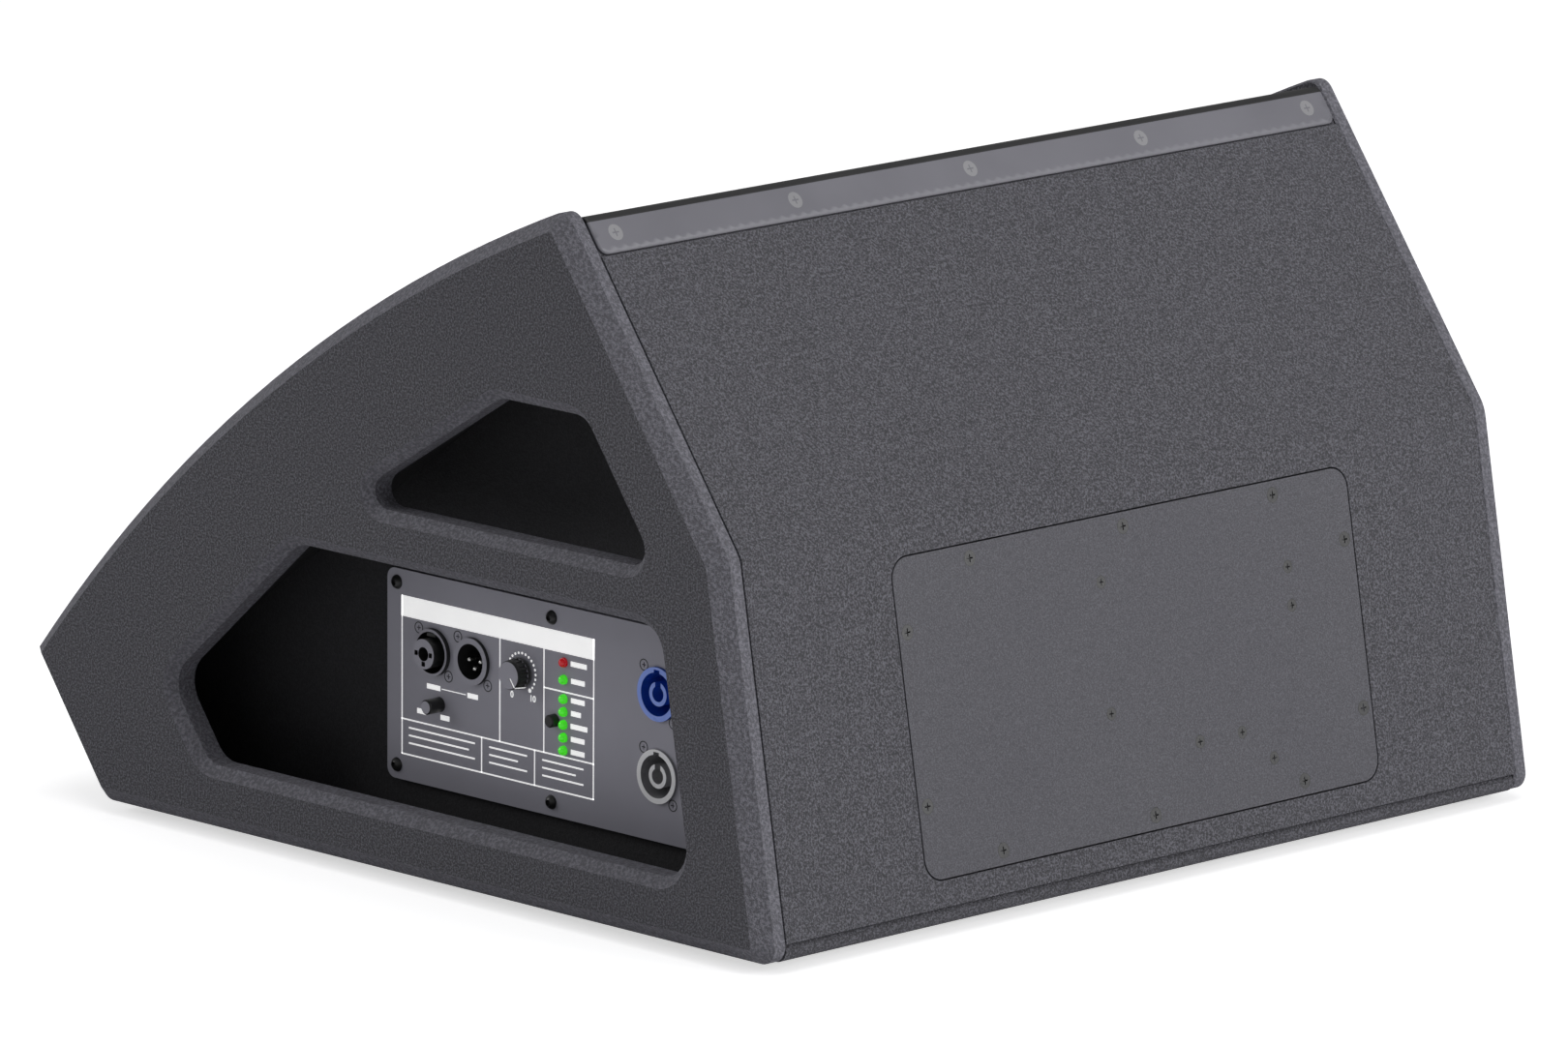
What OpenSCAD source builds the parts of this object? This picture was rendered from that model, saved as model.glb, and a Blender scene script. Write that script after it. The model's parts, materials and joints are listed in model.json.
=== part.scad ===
// Stage monitor wedge: a powered 12 inch coaxial floor monitor in a plywood cabinet.
// +Z is up, the bowed grille faces -Y, and the rear plate faces +Y.
// The connector pocket is in the +X cheek. The origin lies midway under the feet.

/* [Cabinet] */
// Width over both cheeks
cab_w = 510; // [460:1:620]
// Length of the rear lower panel along its slope
rear_len = 182; // [178:1:220]
// Lean of the rear lower panel from upright
rear_tilt = 10; // [8:0.5:12]
// Length of the rear upper panel along its slope
back_len = 177; // [160:1:215]
// Straight distance across the bowed front
face_len = 438; // [425:1:480]
// Slope of the front from level
face_tilt = 36; // [33:0.5:38]
// Radius of the bowed front edge of the cheeks
bow_r = 880; // [860:5:1060]
// Thickness of each cheek
cheek_t = 15; // [14:0.5:18]
// Chamfer around the outer face of a cheek
cheek_chamfer = 7.5; // [5:0.5:9]
// Small chamfer that makes the groove between a cheek and the core
seam = 1; // [0.5:0.25:2]
// Thickness of the rear and nose panels
panel_t = 15; // [15:0.5:18]
// Thickness of the bottom board
bottom_t = 9; // [9:0.5:12]
// Radius of the bottom board's rear edge
bottom_edge_r = 6; // [3:0.5:7]
// Depth of the pocket behind each cheek's cut-outs
pocket_d = 40; // [36:1:44]
// Thickness of the pocket walls
wall_t = 9; // [8:0.5:12]

/* [Cut-outs] */
// Chamfer around each cut-out
rim_chamfer = 5; // [3:0.5:6]
// Height of the lower cut-out above the cabinet bottom
low_margin = 25; // [22:1:30]
// Width left between the cut-outs and the rear edge
rear_margin = 41; // [38:1:46]
// Width left in front of the lower cut-out
nose_margin = 72; // [65:1:80]
// Width left under the bowed edge
bow_margin = 67; // [60:1:72]
// Width left below the rear upper edge
back_margin = 36; // [33:1:42]
// Height of the underside of the hand grip above the cabinet bottom
grip_z = 148.5; // [140:0.5:152]
// Height of the hand grip
grip_h = 15; // [14:0.5:20]
// Height of the upper cut-out
hand_h = 73; // [60:1:74]
// Corner radius of the lower cut-out
low_r = 20; // [14:1:24]
// Corner radius of the upper cut-out
hand_r = 13; // [10:0.5:15]

/* [Baffle and grille] */
// Thickness of the baffle board
baffle_t = 18; // [15:0.5:20]
// Depth of the baffle's front face below the straight line across the front
baffle_set = 14; // [12:0.5:16]
// Sheet thickness of the grille
grille_t = 1.5; // [1:0.25:2]
// Depth of the grille below the cheeks' bowed edge
grille_set = 4; // [3:0.5:5]
// Width of the grille's flanges over the back and the nose
flange_w = 24; // [20:1:28]
// Thickness of the foam behind the grille
foam_t = 5; // [3:0.5:6]
// Number of screws along each grille flange
flange_screws = 5; // [3:1:7]

/* [Woofer] */
// Distance of the woofer's axis from the apex, along the front
woofer_u = 195; // [190:1:200]
// Outer radius of the woofer's frame
frame_r = 155; // [150:1:157]
// Radius of the baffle opening
woofer_hole_r = 141; // [138:1:142]
// Radius of the cone's outer edge
cone_r = 120; // [114:1:122]
// Depth of the cone from the baffle face to the voice coil
cone_depth = 62; // [55:1:66]
// Radius of the voice coil former
coil_r = 38; // [36:0.5:40]
// Radius of the ring magnet
magnet_r = 72; // [66:1:74]
// Number of frame screws
woofer_screws_n = 8; // [4:4:8]

/* [Ports] */
// Inner radius of the port tubes
port_r = 32; // [26:1:33]
// Length of the port tubes behind the baffle face
port_len = 105; // [80:1:120]
// Distance of each port's axis from the middle
port_x = 142; // [138:1:146]

/* [Rear plate] */
// Width of the rear plate
plate_w = 298; // [285:1:320]
// Height of the rear plate
plate_h = 146; // [140:1:150]
// Height of the rear plate's lower edge along the rear slope
plate_s = 22; // [20:0.5:24]
// Thickness of the rear plate
plate_t = 3; // [2:0.5:4]
// Gap around the rear plate in its recess
plate_gap = 0.8; // [0.4:0.1:1.2]
// Thickness of the foam gaskets under both plates
gasket_t = 1.5; // [1:0.25:2]
// Corner radius of the rear plate
plate_r = 10; // [6:1:12]

/* [Connector plate] */
// Length of the connector plate, front to rear
con_l = 218; // [216:1:224]
// Height of the connector plate
con_h = 99; // [98:0.5:104]
// Thickness of the connector plate
con_t = 2; // [1.5:0.25:3]
// Height of the connector plate above the cabinet bottom
con_z = 27.5; // [20:0.5:30]
// Distance of the connector plate's rear edge ahead of the cabinet's rear bottom corner
con_back = 85; // [82:1:90]
// Radius of the round sockets' body
socket_r = 11; // [10.75:0.25:11.25]
// Radius of the locking mains connectors' body
mains_r = 12.5; // [12:0.25:13]
// Radius of the jack bore in the input socket
jack_r = 3.3; // [3.2:0.05:3.4]
// Radius of the volume knob at its skirt
knob_r = 7.4; // [6.6:0.1:8]
// Height of the volume knob above the plate
knob_h = 8.5; // [8:0.5:11]
// Radius of the preset button
preset_r = 3; // [2.5:0.25:3.5]
// Travel of the preset and level buttons
press = 1.5; // [1:0.25:2]
// Radius of the level button
level_r = 3.5; // [3:0.25:4]
// Radius of each light
light_r = 2.25; // [1.5:0.25:2.4]

/* [Fits] */
// Gap between pieces that are screwed or glued together
fit = 0.1; // [0.05:0.05:0.2]
// Radial running gap of shafts and buttons
run_gap = 0.08; // [0.05:0.01:0.1]

/* [Feet] */
// Height of the rubber feet
foot_h = 5; // [4:0.5:8]
// Radius of the rubber feet
foot_r = 15; // [12:0.5:17]
// Distance of each foot's axis from the cabinet's edges
foot_in = 45; // [40:1:50]

/* [Hidden] */

$fn = 64;
thin = 0.01;
rim_flat = 0.2;
core_x = cab_w / 2 - cheek_t;
wall_x = core_x - pocket_d;
inner_x = wall_x - con_t - gasket_t - wall_t;

// Side profile: every point is [y, z]
rear_up = [-sin(rear_tilt), cos(rear_tilt)];
back_up = [-sin(face_tilt), cos(face_tilt)];
face_down = [-cos(face_tilt), -sin(face_tilt)];
rear_in = [-cos(rear_tilt), -sin(rear_tilt)];
depth = -(rear_up * rear_len + back_up * back_len + face_down * face_len)[0];
heel_r = 8;
heel_loss = heel_r / tan(45 - rear_tilt / 2) - heel_r;
heel = [depth / 2 + heel_loss / 2, foot_h];
knee = heel + rear_up * rear_len;
apex = knee + back_up * back_len;
tip = apex + face_down * face_len;
nose_len = (tip[1] - foot_h) / cos(face_tilt);
toe = tip - back_up * nose_len;
bow_half = asin(face_len / 2 / bow_r);
bow_drop = bow_r * cos(bow_half);
bow_mid = (apex + tip) / 2 - back_up * bow_drop;
floor_z = foot_h + bottom_t;

// Point where the line through p along d meets the line through q along e
function meet(p, d, q, e) = p + d * cross(q - p, e) / cross(d, e);

// Arc that rounds the corner at b, between the corners a and c, with radius r
function corner(a, b, c, r, steps = 8) =
    let (u = (a - b) / norm(a - b), v = (c - b) / norm(c - b))
    let (half = acos(u * v) / 2, mid = b + (u + v) / norm(u + v) * r / sin(half))
    let (from = b + u * r / tan(half) - mid, side = sign(cross(-u, v)))
    let (start = atan2(from[1], from[0]))
    r == 0 ? [b] : [for (i = [0 : steps]) let (t = start + side * (180 - 2 * half) * i / steps)
        mid + r * [cos(t), sin(t)]];

// Outline with each corner rounded by its own radius
function rounded(p, r) = let (n = len(p))
    [for (i = [0 : n - 1]) each corner(p[(i + n - 1) % n], p[i], p[(i + 1) % n], r[i])];

bow_steps = 24;
bow_points = [for (i = [1 : bow_steps - 1])
    let (t = 90 + face_tilt - bow_half + 2 * bow_half * i / bow_steps)
    bow_mid + bow_r * [cos(t), sin(t)]];
cheek_points = rounded(
    concat([heel, knee, apex], bow_points, [tip, toe]),
    concat([heel_r, 20, 8], [for (p = bow_points) 0], [0, 8]));

// Inner corners of the cabinet
in_heel = meet(heel + rear_in * panel_t, rear_up, [0, floor_z], [1, 0]);
in_knee = meet(heel + rear_in * panel_t, rear_up, knee + face_down * panel_t, back_up);
in_apex = apex + face_down * panel_t - back_up * (baffle_set + baffle_t);
in_tip = tip - face_down * panel_t - back_up * (baffle_set + baffle_t);
in_toe = meet(in_tip, back_up, [0, floor_z], [1, 0]);
chamber = [in_heel, in_knee, in_apex, in_tip, in_toe];

// Lower cut-out: parallel to the rear, the nose and the bow's tangent
low_slope = 41.4;
low_z = foot_h + low_margin;
grip_low = foot_h + grip_z;
rear_line = heel + rear_in * rear_margin;
nose_line = tip - face_down * nose_margin;
low_tan = bow_mid + (bow_r - bow_margin) * [-sin(low_slope), cos(low_slope)];
low_dir = [cos(low_slope), sin(low_slope)];
low_cut = rounded([
    meet(rear_line, rear_up, [0, low_z], [1, 0]),
    meet(rear_line, rear_up, [0, grip_low], [1, 0]),
    meet(low_tan, low_dir, [0, grip_low], [1, 0]),
    meet(low_tan, low_dir, nose_line, back_up),
    meet(nose_line, back_up, [0, low_z], [1, 0])], [low_r, low_r, low_r, low_r, low_r]);

// Upper cut-out: parallel to the rear upper panel and the bow's tangent
hand_slope = 31.4;
hand_z = grip_low + grip_h;
hand_top = hand_z + hand_h;
back_line = knee + face_down * back_margin;
hand_tan = bow_mid + (bow_r - bow_margin + 2) * [-sin(hand_slope), cos(hand_slope)];
hand_dir = [cos(hand_slope), sin(hand_slope)];
hand_cut = rounded([
    meet(back_line, back_up, [0, hand_z], [1, 0]),
    meet(back_line, back_up, [0, hand_top], [1, 0]),
    meet(hand_tan, hand_dir, [0, hand_top], [1, 0]),
    meet(hand_tan, hand_dir, [0, hand_z], [1, 0])], [hand_r, hand_r + 5, hand_r + 5, hand_r]);

// Local frames: each has x across the cabinet, and z out of the face or into the cabinet
module across(x0, x1) { translate([x0, 0, 0]) rotate([90, 0, 90]) linear_extrude(x1 - x0) children(); }
module on_face() { translate([0, apex[0], apex[1]]) rotate([face_tilt, 0, 0]) children(); }
module on_rear() { translate([0, heel[0], heel[1]]) rotate([90 + rear_tilt, 0, 0]) children(); }
module on_back() { translate([0, knee[0], knee[1]]) rotate([90 + face_tilt, 0, 0]) children(); }
module on_nose() { translate([0, tip[0], tip[1]]) rotate([face_tilt - 90, 0, 0]) children(); }
module on_woofer() { on_face() translate([0, -woofer_u, -baffle_set]) children(); }
con_y = heel[0] - con_back - con_l;
module on_panel() { translate([wall_x, con_y, foot_h + con_z]) rotate([90, 0, 90]) children(); }

// Rectangle with round corners, centred
module round_rect(w, h, r) {
    square([w - 2 * r, h], center = true);
    square([w, h - 2 * r], center = true);
    for (x = [-1, 1], y = [-1, 1]) translate([x * (w / 2 - r), y * (h / 2 - r)]) circle(r);
}
module round_plate(w, h, r, t) { linear_extrude(t) round_rect(w, h, r); }

// Countersunk screw: its head is flush with z = 0 and its shank runs to -length
module flat_screw(head_r, shank_r, length) {
    head_h = head_r - shank_r;
    difference() {
        union() {
            translate([0, 0, -head_h]) cylinder(h = head_h, r1 = shank_r, r2 = head_r);
            translate([0, 0, -length]) cylinder(h = length - head_h, r = shank_r);
        }
        for (a = [0, 90]) rotate(a) translate([-head_r / 2, -head_r / 11, -head_h * 0.7])
            cube([head_r, head_r / 5.5, head_h]);
    }
}
// Hole that clears such a screw
module flat_hole(head_r, shank_r, length) {
    head_h = head_r - shank_r;
    translate([0, 0, -head_h - fit]) cylinder(h = head_h + thin, r1 = shank_r + fit, r2 = head_r + fit);
    translate([0, 0, -fit - thin]) cylinder(h = 1, r = head_r + fit);
    translate([0, 0, -length - fit]) cylinder(h = length, r = shank_r + fit);
}
// Button-head screw: its head stands on z = 0
module button_screw(head_r, head_h, shank_r, length) {
    dome_r = (head_r * head_r + head_h * head_h) / (2 * head_h);
    difference() {
        union() {
            intersection() {
                cylinder(h = head_h, r = head_r);
                translate([0, 0, head_h - dome_r]) sphere(dome_r, $fn = 96);
            }
            translate([0, 0, -length]) cylinder(h = length + thin, r = shank_r);
        }
        translate([0, 0, head_h * 0.4]) cylinder(h = head_h, r = head_r * 0.45, $fn = 6);
    }
}

// Screws through the grille's flanges
flange_head_r = 4;
flange_shank_r = 2;
flange_screw_len = 13;
flange_inset = 14.5;
module flange_row() {
    span = core_x - flange_inset;
    for (i = [0 : flange_screws - 1])
        translate([-span + 2 * span * i / (flange_screws - 1), 0, 0]) children();
}
module back_row() { on_back() translate([0, back_len - flange_inset, 0]) mirror([0, 0, 1]) flange_row() children(); }
module nose_row() { on_nose() translate([0, flange_inset, 0]) mirror([0, 0, 1]) flange_row() children(); }

// Screws of the rear plate
plate_mid = plate_s + plate_h / 2;
plate_inset = 6.5;
plate_head_r = 3.6;
plate_shank_r = 1.9;
plate_screw_len = 16;
module plate_ring() {
    row_y = plate_h / 2 - plate_inset;
    on_rear() translate([0, plate_mid, 0]) mirror([0, 0, 1]) {
        for (x = [-plate_w / 3, 0, plate_w / 3], y = [-row_y, row_y]) translate([x, y, 0]) children();
        for (x = [-1, 1], y = [-0.27, 0.27]) translate([x * (plate_w / 2 - plate_inset + 1), y * plate_h, 0])
            children();
    }
}

// Module screws on the rear plate: [x, height along the slope]
spacer_spots = [[18, 138.5], [21, 78.5], [-81, 42]];
spreader_spots = [[-34, 57], [-62, 57]];
transistor_spots = [[-104, 127.5], [-104, 109.5]];
module_spots = concat(spacer_spots, spreader_spots, transistor_spots);
module_head_r = 3;
module_shank_r = 1.5;
module_screw_len = 9;
module at_spots(spots) { on_rear() for (p = spots) translate([p[0], p[1], 0]) children(); }

// Places on the connector plate, measured from its lower front corner
socket_y = 63.5;
input_x = 31;
link_x = 57;
knob_x = 89.3;
lights_x = 117.1;
preset_x = 111;
preset_y = 45;
level_x = 35;
level_y = 39.5;
mains_x = 178.5;
inlet_y = 68.5;
outlet_y = 30.5;
light_ys = [64.95, 55.95, 49.95, 43.95, 37.95, 31.95];
clip_y = 72.95;
round_half = [9.9, 9.9];
mains_half = [9.5, 12];
socket_list = [[input_x, socket_y], [link_x, socket_y]];
mains_list = [[mains_x, inlet_y], [mains_x, outlet_y]];
board_z = -16;

module at_socket_screws() {
    on_panel() {
        for (p = socket_list, s = [-1, 1]) translate([p[0] + s * round_half[0], p[1] - s * round_half[1], 0])
            children();
        for (p = mains_list, s = [-1, 1]) translate([p[0] + s * mains_half[0], p[1] - s * mains_half[1], 0])
            children();
    }
}
con_inset = 6.5;
module at_plate_screws() {
    on_panel() for (x = [con_inset, con_l / 2, con_l - con_inset], y = [con_inset, con_h - con_inset])
        translate([x, y, 0]) children();
}

// --- Cabinet ---
// Through cut with a chamfered outer rim; the flare runs past the cheek's face and into the cut,
// and sits a hair off it, so that no two corners fall on one point
module cut_rim(points) {
    hull() {
        across(cab_w / 2 - rim_chamfer - 1, cab_w / 2 - rim_chamfer - 1 + thin)
            offset(delta = -rim_chamfer - 1) polygon(points);
        across(cab_w / 2 + 1, cab_w / 2 + 1 + thin) offset(delta = 1) polygon(points);
    }
    across(core_x - 1, cab_w / 2 + 1) translate([thin, 2 * thin]) offset(delta = -rim_chamfer) polygon(points);
}
module cheek() {
    difference() {
        hull() {
            across(core_x, core_x + rim_flat) offset(delta = -seam) polygon(cheek_points);
            across(core_x + seam, cab_w / 2 - cheek_chamfer) polygon(cheek_points);
            across(cab_w / 2 - rim_flat, cab_w / 2) offset(delta = -cheek_chamfer) polygon(cheek_points);
        }
        cut_rim(low_cut);
        cut_rim(hand_cut);
    }
}
module cheek_right() { color([0.22, 0.22, 0.23]) cheek(); }
module cheek_left() { color([0.22, 0.22, 0.23]) mirror([1, 0, 0]) cheek(); }

// The core stops a glue gap short of the cheeks
side = core_x - fit;
module bottom_board() {
    edge = heel[0] - heel_loss - 0.5;
    color([0.2, 0.2, 0.21]) difference() {
        across(-side, side) polygon(concat(
            [toe + [1.5, 0]],
            corner(toe, [edge, foot_h], [edge, floor_z], bottom_edge_r),
            [[edge - 1.5, floor_z - 1]],
            [[edge - 4, floor_z], meet(toe, back_up, [0, floor_z], [1, 0]) + [1.5, 0]]));
        foot_spots() translate([0, 0, foot_h]) cylinder(h = 7, r = foot_shank_r + fit);
    }
}
rear_foot = meet(heel, rear_up, [0, floor_z + fit], [1, 0]);
module rear_lower_panel() {
    foot_in_y = meet(heel + rear_in * panel_t, rear_up, [0, floor_z + fit], [1, 0]);
    recess = plate_t + gasket_t;
    color([0.22, 0.22, 0.23]) difference() {
        across(-side, side) polygon([rear_foot, knee, in_knee, foot_in_y]);
        on_rear() translate([0, plate_mid, 0]) {
            translate([0, 0, -1]) round_plate(plate_w + 2 * plate_gap, plate_h + 2 * plate_gap,
                plate_r + plate_gap, recess + 1);
            translate([0, 0, -1]) round_plate(plate_w - 28, plate_h - 28, plate_r, panel_t + 2);
        }
        plate_ring() flat_hole(plate_head_r, plate_shank_r, plate_screw_len);
    }
}
module rear_upper_panel() {
    step = grille_t + fit;
    top = baffle_set - 6;
    color([0.22, 0.22, 0.23]) difference() {
        across(-side, side) polygon([
            knee, apex - back_up * (flange_w + 1), apex - back_up * (flange_w + 1) + face_down * step,
            apex - back_up * top + face_down * step, apex - back_up * top + face_down * panel_t, in_knee]);
        back_row() flat_hole(flange_head_r, flange_shank_r, flange_screw_len);
    }
}
module nose_panel() {
    step = grille_t + fit;
    top = baffle_set - 6;
    low = [0, floor_z + fit];
    color([0.22, 0.22, 0.23]) difference() {
        across(-side, side) polygon([
            tip - back_up * top - face_down * step, tip - back_up * (flange_w + 1) - face_down * step,
            tip - back_up * (flange_w + 1), meet(tip, back_up, low, [1, 0]),
            meet(in_tip, back_up, low, [1, 0]), tip - back_up * top - face_down * panel_t]);
        nose_row() flat_hole(flange_head_r, flange_shank_r, flange_screw_len);
    }
}
port_u = panel_t + port_r + 12;
module at_ports() { on_face() for (x = [-port_x, port_x]) translate([x, -port_u, -baffle_set]) children(); }
woofer_bolt_r = (frame_r + woofer_hole_r) / 2;
woofer_shank_r = 2.4;
module woofer_ring() {
    for (i = [0 : woofer_screws_n - 1])
        rotate(360 * (i + 0.5) / woofer_screws_n) translate([woofer_bolt_r, 0, 0]) children();
}
module baffle_board() {
    length = face_len - 2 * panel_t - 2 * fit;
    color([0.12, 0.12, 0.12]) difference() {
        on_face() translate([-side, -face_len + panel_t + fit, -baffle_set - baffle_t])
            cube([2 * side, length, baffle_t]);
        on_woofer() translate([0, 0, -baffle_t - 1]) cylinder(h = baffle_t + 2, r = woofer_hole_r);
        on_woofer() woofer_ring() translate([0, 0, -13]) cylinder(h = 14, r = woofer_shank_r + fit);
        at_ports() translate([0, 0, -baffle_t - 1]) cylinder(h = baffle_t + 2, r = port_r + port_wall + fit);
    }
}
module chamber_wall(x0, x1) {
    across(x0, x1) offset(delta = -fit) polygon(chamber);
}
wall_out = wall_x - con_t - gasket_t;
module pocket_wall_right() {
    color([0.13, 0.13, 0.14]) difference() {
        chamber_wall(inner_x, wall_out);
        on_panel() translate([con_l / 2, con_h / 2, -con_t - gasket_t - wall_t - 1])
            round_plate(con_l - 26, con_h - 22, 4, wall_t + 2);
        at_plate_screws() translate([0, 0, -con_screw_len - fit]) cylinder(h = con_screw_len, r = con_shank_r + fit);
    }
}
module pocket_wall_left() { color([0.13, 0.13, 0.14]) mirror([1, 0, 0]) chamber_wall(inner_x, wall_out); }
// Square battens in the corner between the baffle and the rear upper and nose panels
block = 14;
module glue_blocks() {
    half = inner_x - 8;
    color([0.72, 0.55, 0.36]) on_face() {
        translate([-half / 2, -panel_t - fit - block, -baffle_set - baffle_t - fit - block]) cube([half, block, block]);
        translate([-half, -face_len + panel_t + 2 * fit, -baffle_set - baffle_t - fit - block])
            cube([2 * half, block, block]);
    }
}

// --- Grille ---
grille_r = bow_r - grille_set;
module bow_ring(r_out, r_in, u0, u1) {
    intersection() {
        translate([-face_len / 2, -bow_drop]) difference() {
            circle(r_out, $fn = 360);
            circle(r_in, $fn = 360);
        }
        translate([-u1, -baffle_set]) square([u1 - u0, face_len / 2]);
    }
}
grille_edge = sqrt(grille_r * grille_r - pow(face_len / 2, 2)) - bow_drop;
module grille_leg(u0) {
    translate([-u0 - grille_t, -flange_w]) square([grille_t, flange_w + grille_edge - 0.3]);
}
module grille() {
    half = side - 0.6;
    color([0.3, 0.3, 0.31]) difference() {
        on_face() across(-half, half) {
            bow_ring(grille_r, grille_r - grille_t, 0, face_len);
            grille_leg(0);
            grille_leg(face_len - grille_t);
        }
        back_row() flat_hole(flange_head_r, flange_shank_r, flange_screw_len);
        nose_row() flat_hole(flange_head_r, flange_shank_r, flange_screw_len);
    }
}
module grille_foam() {
    r_out = grille_r - grille_t - 0.3;
    color([0.06, 0.06, 0.06]) on_face() across(-side + 2, side - 2) bow_ring(r_out, r_out - foam_t, 20, face_len - 20);
}
module grille_screws() {
    color([0.6, 0.6, 0.6]) {
        back_row() flat_screw(flange_head_r, flange_shank_r, flange_screw_len);
        nose_row() flat_screw(flange_head_r, flange_shank_r, flange_screw_len);
    }
}
// Soft lining on the floor and on the rear upper panel
wadding_t = 18;
module wadding() {
    color([0.85, 0.85, 0.82]) {
        translate([-inner_x + 2, in_toe[0] + 14, floor_z + fit])
            cube([2 * inner_x - 4, in_heel[0] - in_toe[0] - 44, wadding_t]);
        on_back() translate([-port_x + port_r + port_wall + 8, 12, panel_t + fit])
            cube([2 * (port_x - port_r - port_wall - 8), back_len - baffle_set - baffle_t - block - 18, wadding_t]);
    }
}
port_wall = 2.5;
module port_tubes() {
    color([0.07, 0.07, 0.07]) at_ports() difference() {
        union() {
            translate([0, 0, -port_len]) cylinder(h = port_len, r = port_r + port_wall);
            translate([0, 0, fit]) cylinder(h = 2, r = port_r + port_wall + 3);
            cylinder(h = 1, r = port_r + port_wall);
        }
        translate([0, 0, -port_len - 1]) cylinder(h = port_len + 5, r = port_r);
    }
}

// --- Woofer: z = 0 is the baffle's front face, and everything turns about the z axis ---
frame_z = gasket_t + fit;
frame_t = 6;
basket_z = -cone_depth - 26;
spider_z = -cone_depth - 11;
surround_r = woofer_hole_r - 9;
surround_lip_r = woofer_hole_r - 4.6;
surround_z = frame_z - 1.6;
module woofer_gasket() {
    color([0.05, 0.05, 0.05]) on_woofer() difference() {
        translate([0, 0, fit / 2]) cylinder(h = gasket_t - fit / 2, r = frame_r - 1);
        translate([0, 0, -1]) cylinder(h = gasket_t + 2, r = woofer_hole_r);
        woofer_ring() translate([0, 0, -1]) cylinder(h = gasket_t + 2, r = woofer_shank_r + fit);
    }
}
module woofer_frame() {
    spokes = 6;
    ring_r = woofer_hole_r - 1;
    color([0.1, 0.1, 0.1]) on_woofer() difference() {
        union() {
            translate([0, 0, frame_z]) difference() {
                cylinder(h = frame_t, r = frame_r);
                translate([0, 0, -1]) cylinder(h = frame_t + 2, r = surround_lip_r + fit);
            }
            translate([0, 0, surround_z - fit - 3]) difference() {
                cylinder(h = 3, r = ring_r - 0.5);
                translate([0, 0, -1]) cylinder(h = 5, r = surround_r + 0.6);
            }
            translate([0, 0, -14]) difference() {
                cylinder(h = 14 + frame_z + 1, r = ring_r);
                translate([0, 0, -1]) cylinder(h = 17 + frame_z, r = ring_r - 3);
            }
            translate([0, 0, basket_z]) difference() {
                cylinder(h = 4, r = magnet_r + 4);
                translate([0, 0, -1]) cylinder(h = 6, r = coil_r + 5);
            }
            translate([0, 0, basket_z + 3]) difference() {
                cylinder(h = spider_z - fit - basket_z - 3, r = magnet_r + 4);
                translate([0, 0, -1]) cylinder(h = 20, r = magnet_r + 1);
            }
            for (i = [0 : spokes - 1]) rotate(360 / spokes * i - 10) rotate_extrude(angle = 20)
                polygon([[magnet_r - 4, basket_z + 0.5], [magnet_r + 3, basket_z + 0.5], [ring_r - 0.5, -13],
                    [ring_r - 0.5, -8], [ring_r - 2.5, -8], [ring_r - 4, -14.5], [magnet_r - 4, basket_z + 3.5]]);
        }
        woofer_ring() translate([0, 0, -1]) cylinder(h = frame_t + 12, r = woofer_shank_r + fit);
    }
}
module woofer_screws() {
    color([0.08, 0.08, 0.08]) on_woofer() woofer_ring() translate([0, 0, frame_z + frame_t])
        button_screw(4.5, 2.6, woofer_shank_r, 20);
}
module woofer_surround() {
    roll = (surround_r - cone_r) / 2;
    skin = 1.2;
    color([0.05, 0.05, 0.05]) on_woofer() translate([0, 0, surround_z]) rotate_extrude($fn = 128) {
        translate([cone_r + roll, 0]) intersection() {
            difference() {
                circle(roll);
                circle(roll - skin);
            }
            translate([-roll - 1, 0]) square([2 * roll + 2, roll + 1]);
        }
        translate([cone_r - 6, 0]) square([7, skin]);
        translate([surround_r - 1, 0]) square([surround_lip_r - surround_r + 1, skin]);
    }
}
module woofer_cone() {
    lip = frame_z - 1.7;
    color([0.08, 0.08, 0.09]) on_woofer() rotate_extrude($fn = 128) polygon([
        [coil_r + 1.3, -cone_depth], [coil_r + 1.3, -cone_depth - 3], [coil_r + 2.3, -cone_depth - 3],
        [cone_r * 0.72, -cone_depth * 0.4], [cone_r - 3, lip - 1.2], [cone_r, lip - 1.2], [cone_r, lip],
        [cone_r - 3.6, lip], [cone_r * 0.72 - 1, -cone_depth * 0.4 + 1]]);
}
module woofer_spider() {
    inner = coil_r + 1.3;
    outer = magnet_r + 4;
    waves = 4;
    pitch = (outer - inner) / waves;
    color([0.75, 0.6, 0.3]) on_woofer() translate([0, 0, spider_z]) rotate_extrude($fn = 96)
        for (i = [0 : waves - 1]) polygon([
            [inner + pitch * i, 0], [inner + pitch * (i + 0.5), 2], [inner + pitch * (i + 1), 0],
            [inner + pitch * (i + 1), 0.7], [inner + pitch * (i + 0.5), 2.7], [inner + pitch * i, 0.7]]);
}
module voice_coil() {
    color([0.72, 0.42, 0.2]) on_woofer() difference() {
        union() {
            translate([0, 0, basket_z - 14]) cylinder(h = 26 + 14 - 1, r = coil_r);
            translate([0, 0, basket_z - 12]) cylinder(h = 14, r = coil_r + 0.9);
            translate([0, 0, -cone_depth - 12]) cylinder(h = 9, r = coil_r + 1.2);
        }
        translate([0, 0, basket_z - 20]) cylinder(h = 80, r = coil_r - 0.7);
    }
}
top_plate_t = 8;
ring_t = 18;
module magnet_disc(z, h, r_out, r_in) {
    on_woofer() translate([0, 0, z]) difference() {
        cylinder(h = h, r = r_out);
        translate([0, 0, -1]) cylinder(h = h + 2, r = r_in);
    }
}
top_z = basket_z - fit - top_plate_t;
ring_z = top_z - fit - ring_t;
throat_r = 12.7;
module top_plate() { color([0.55, 0.56, 0.58]) magnet_disc(top_z, top_plate_t, magnet_r - 2, coil_r + 1.9); }
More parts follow.
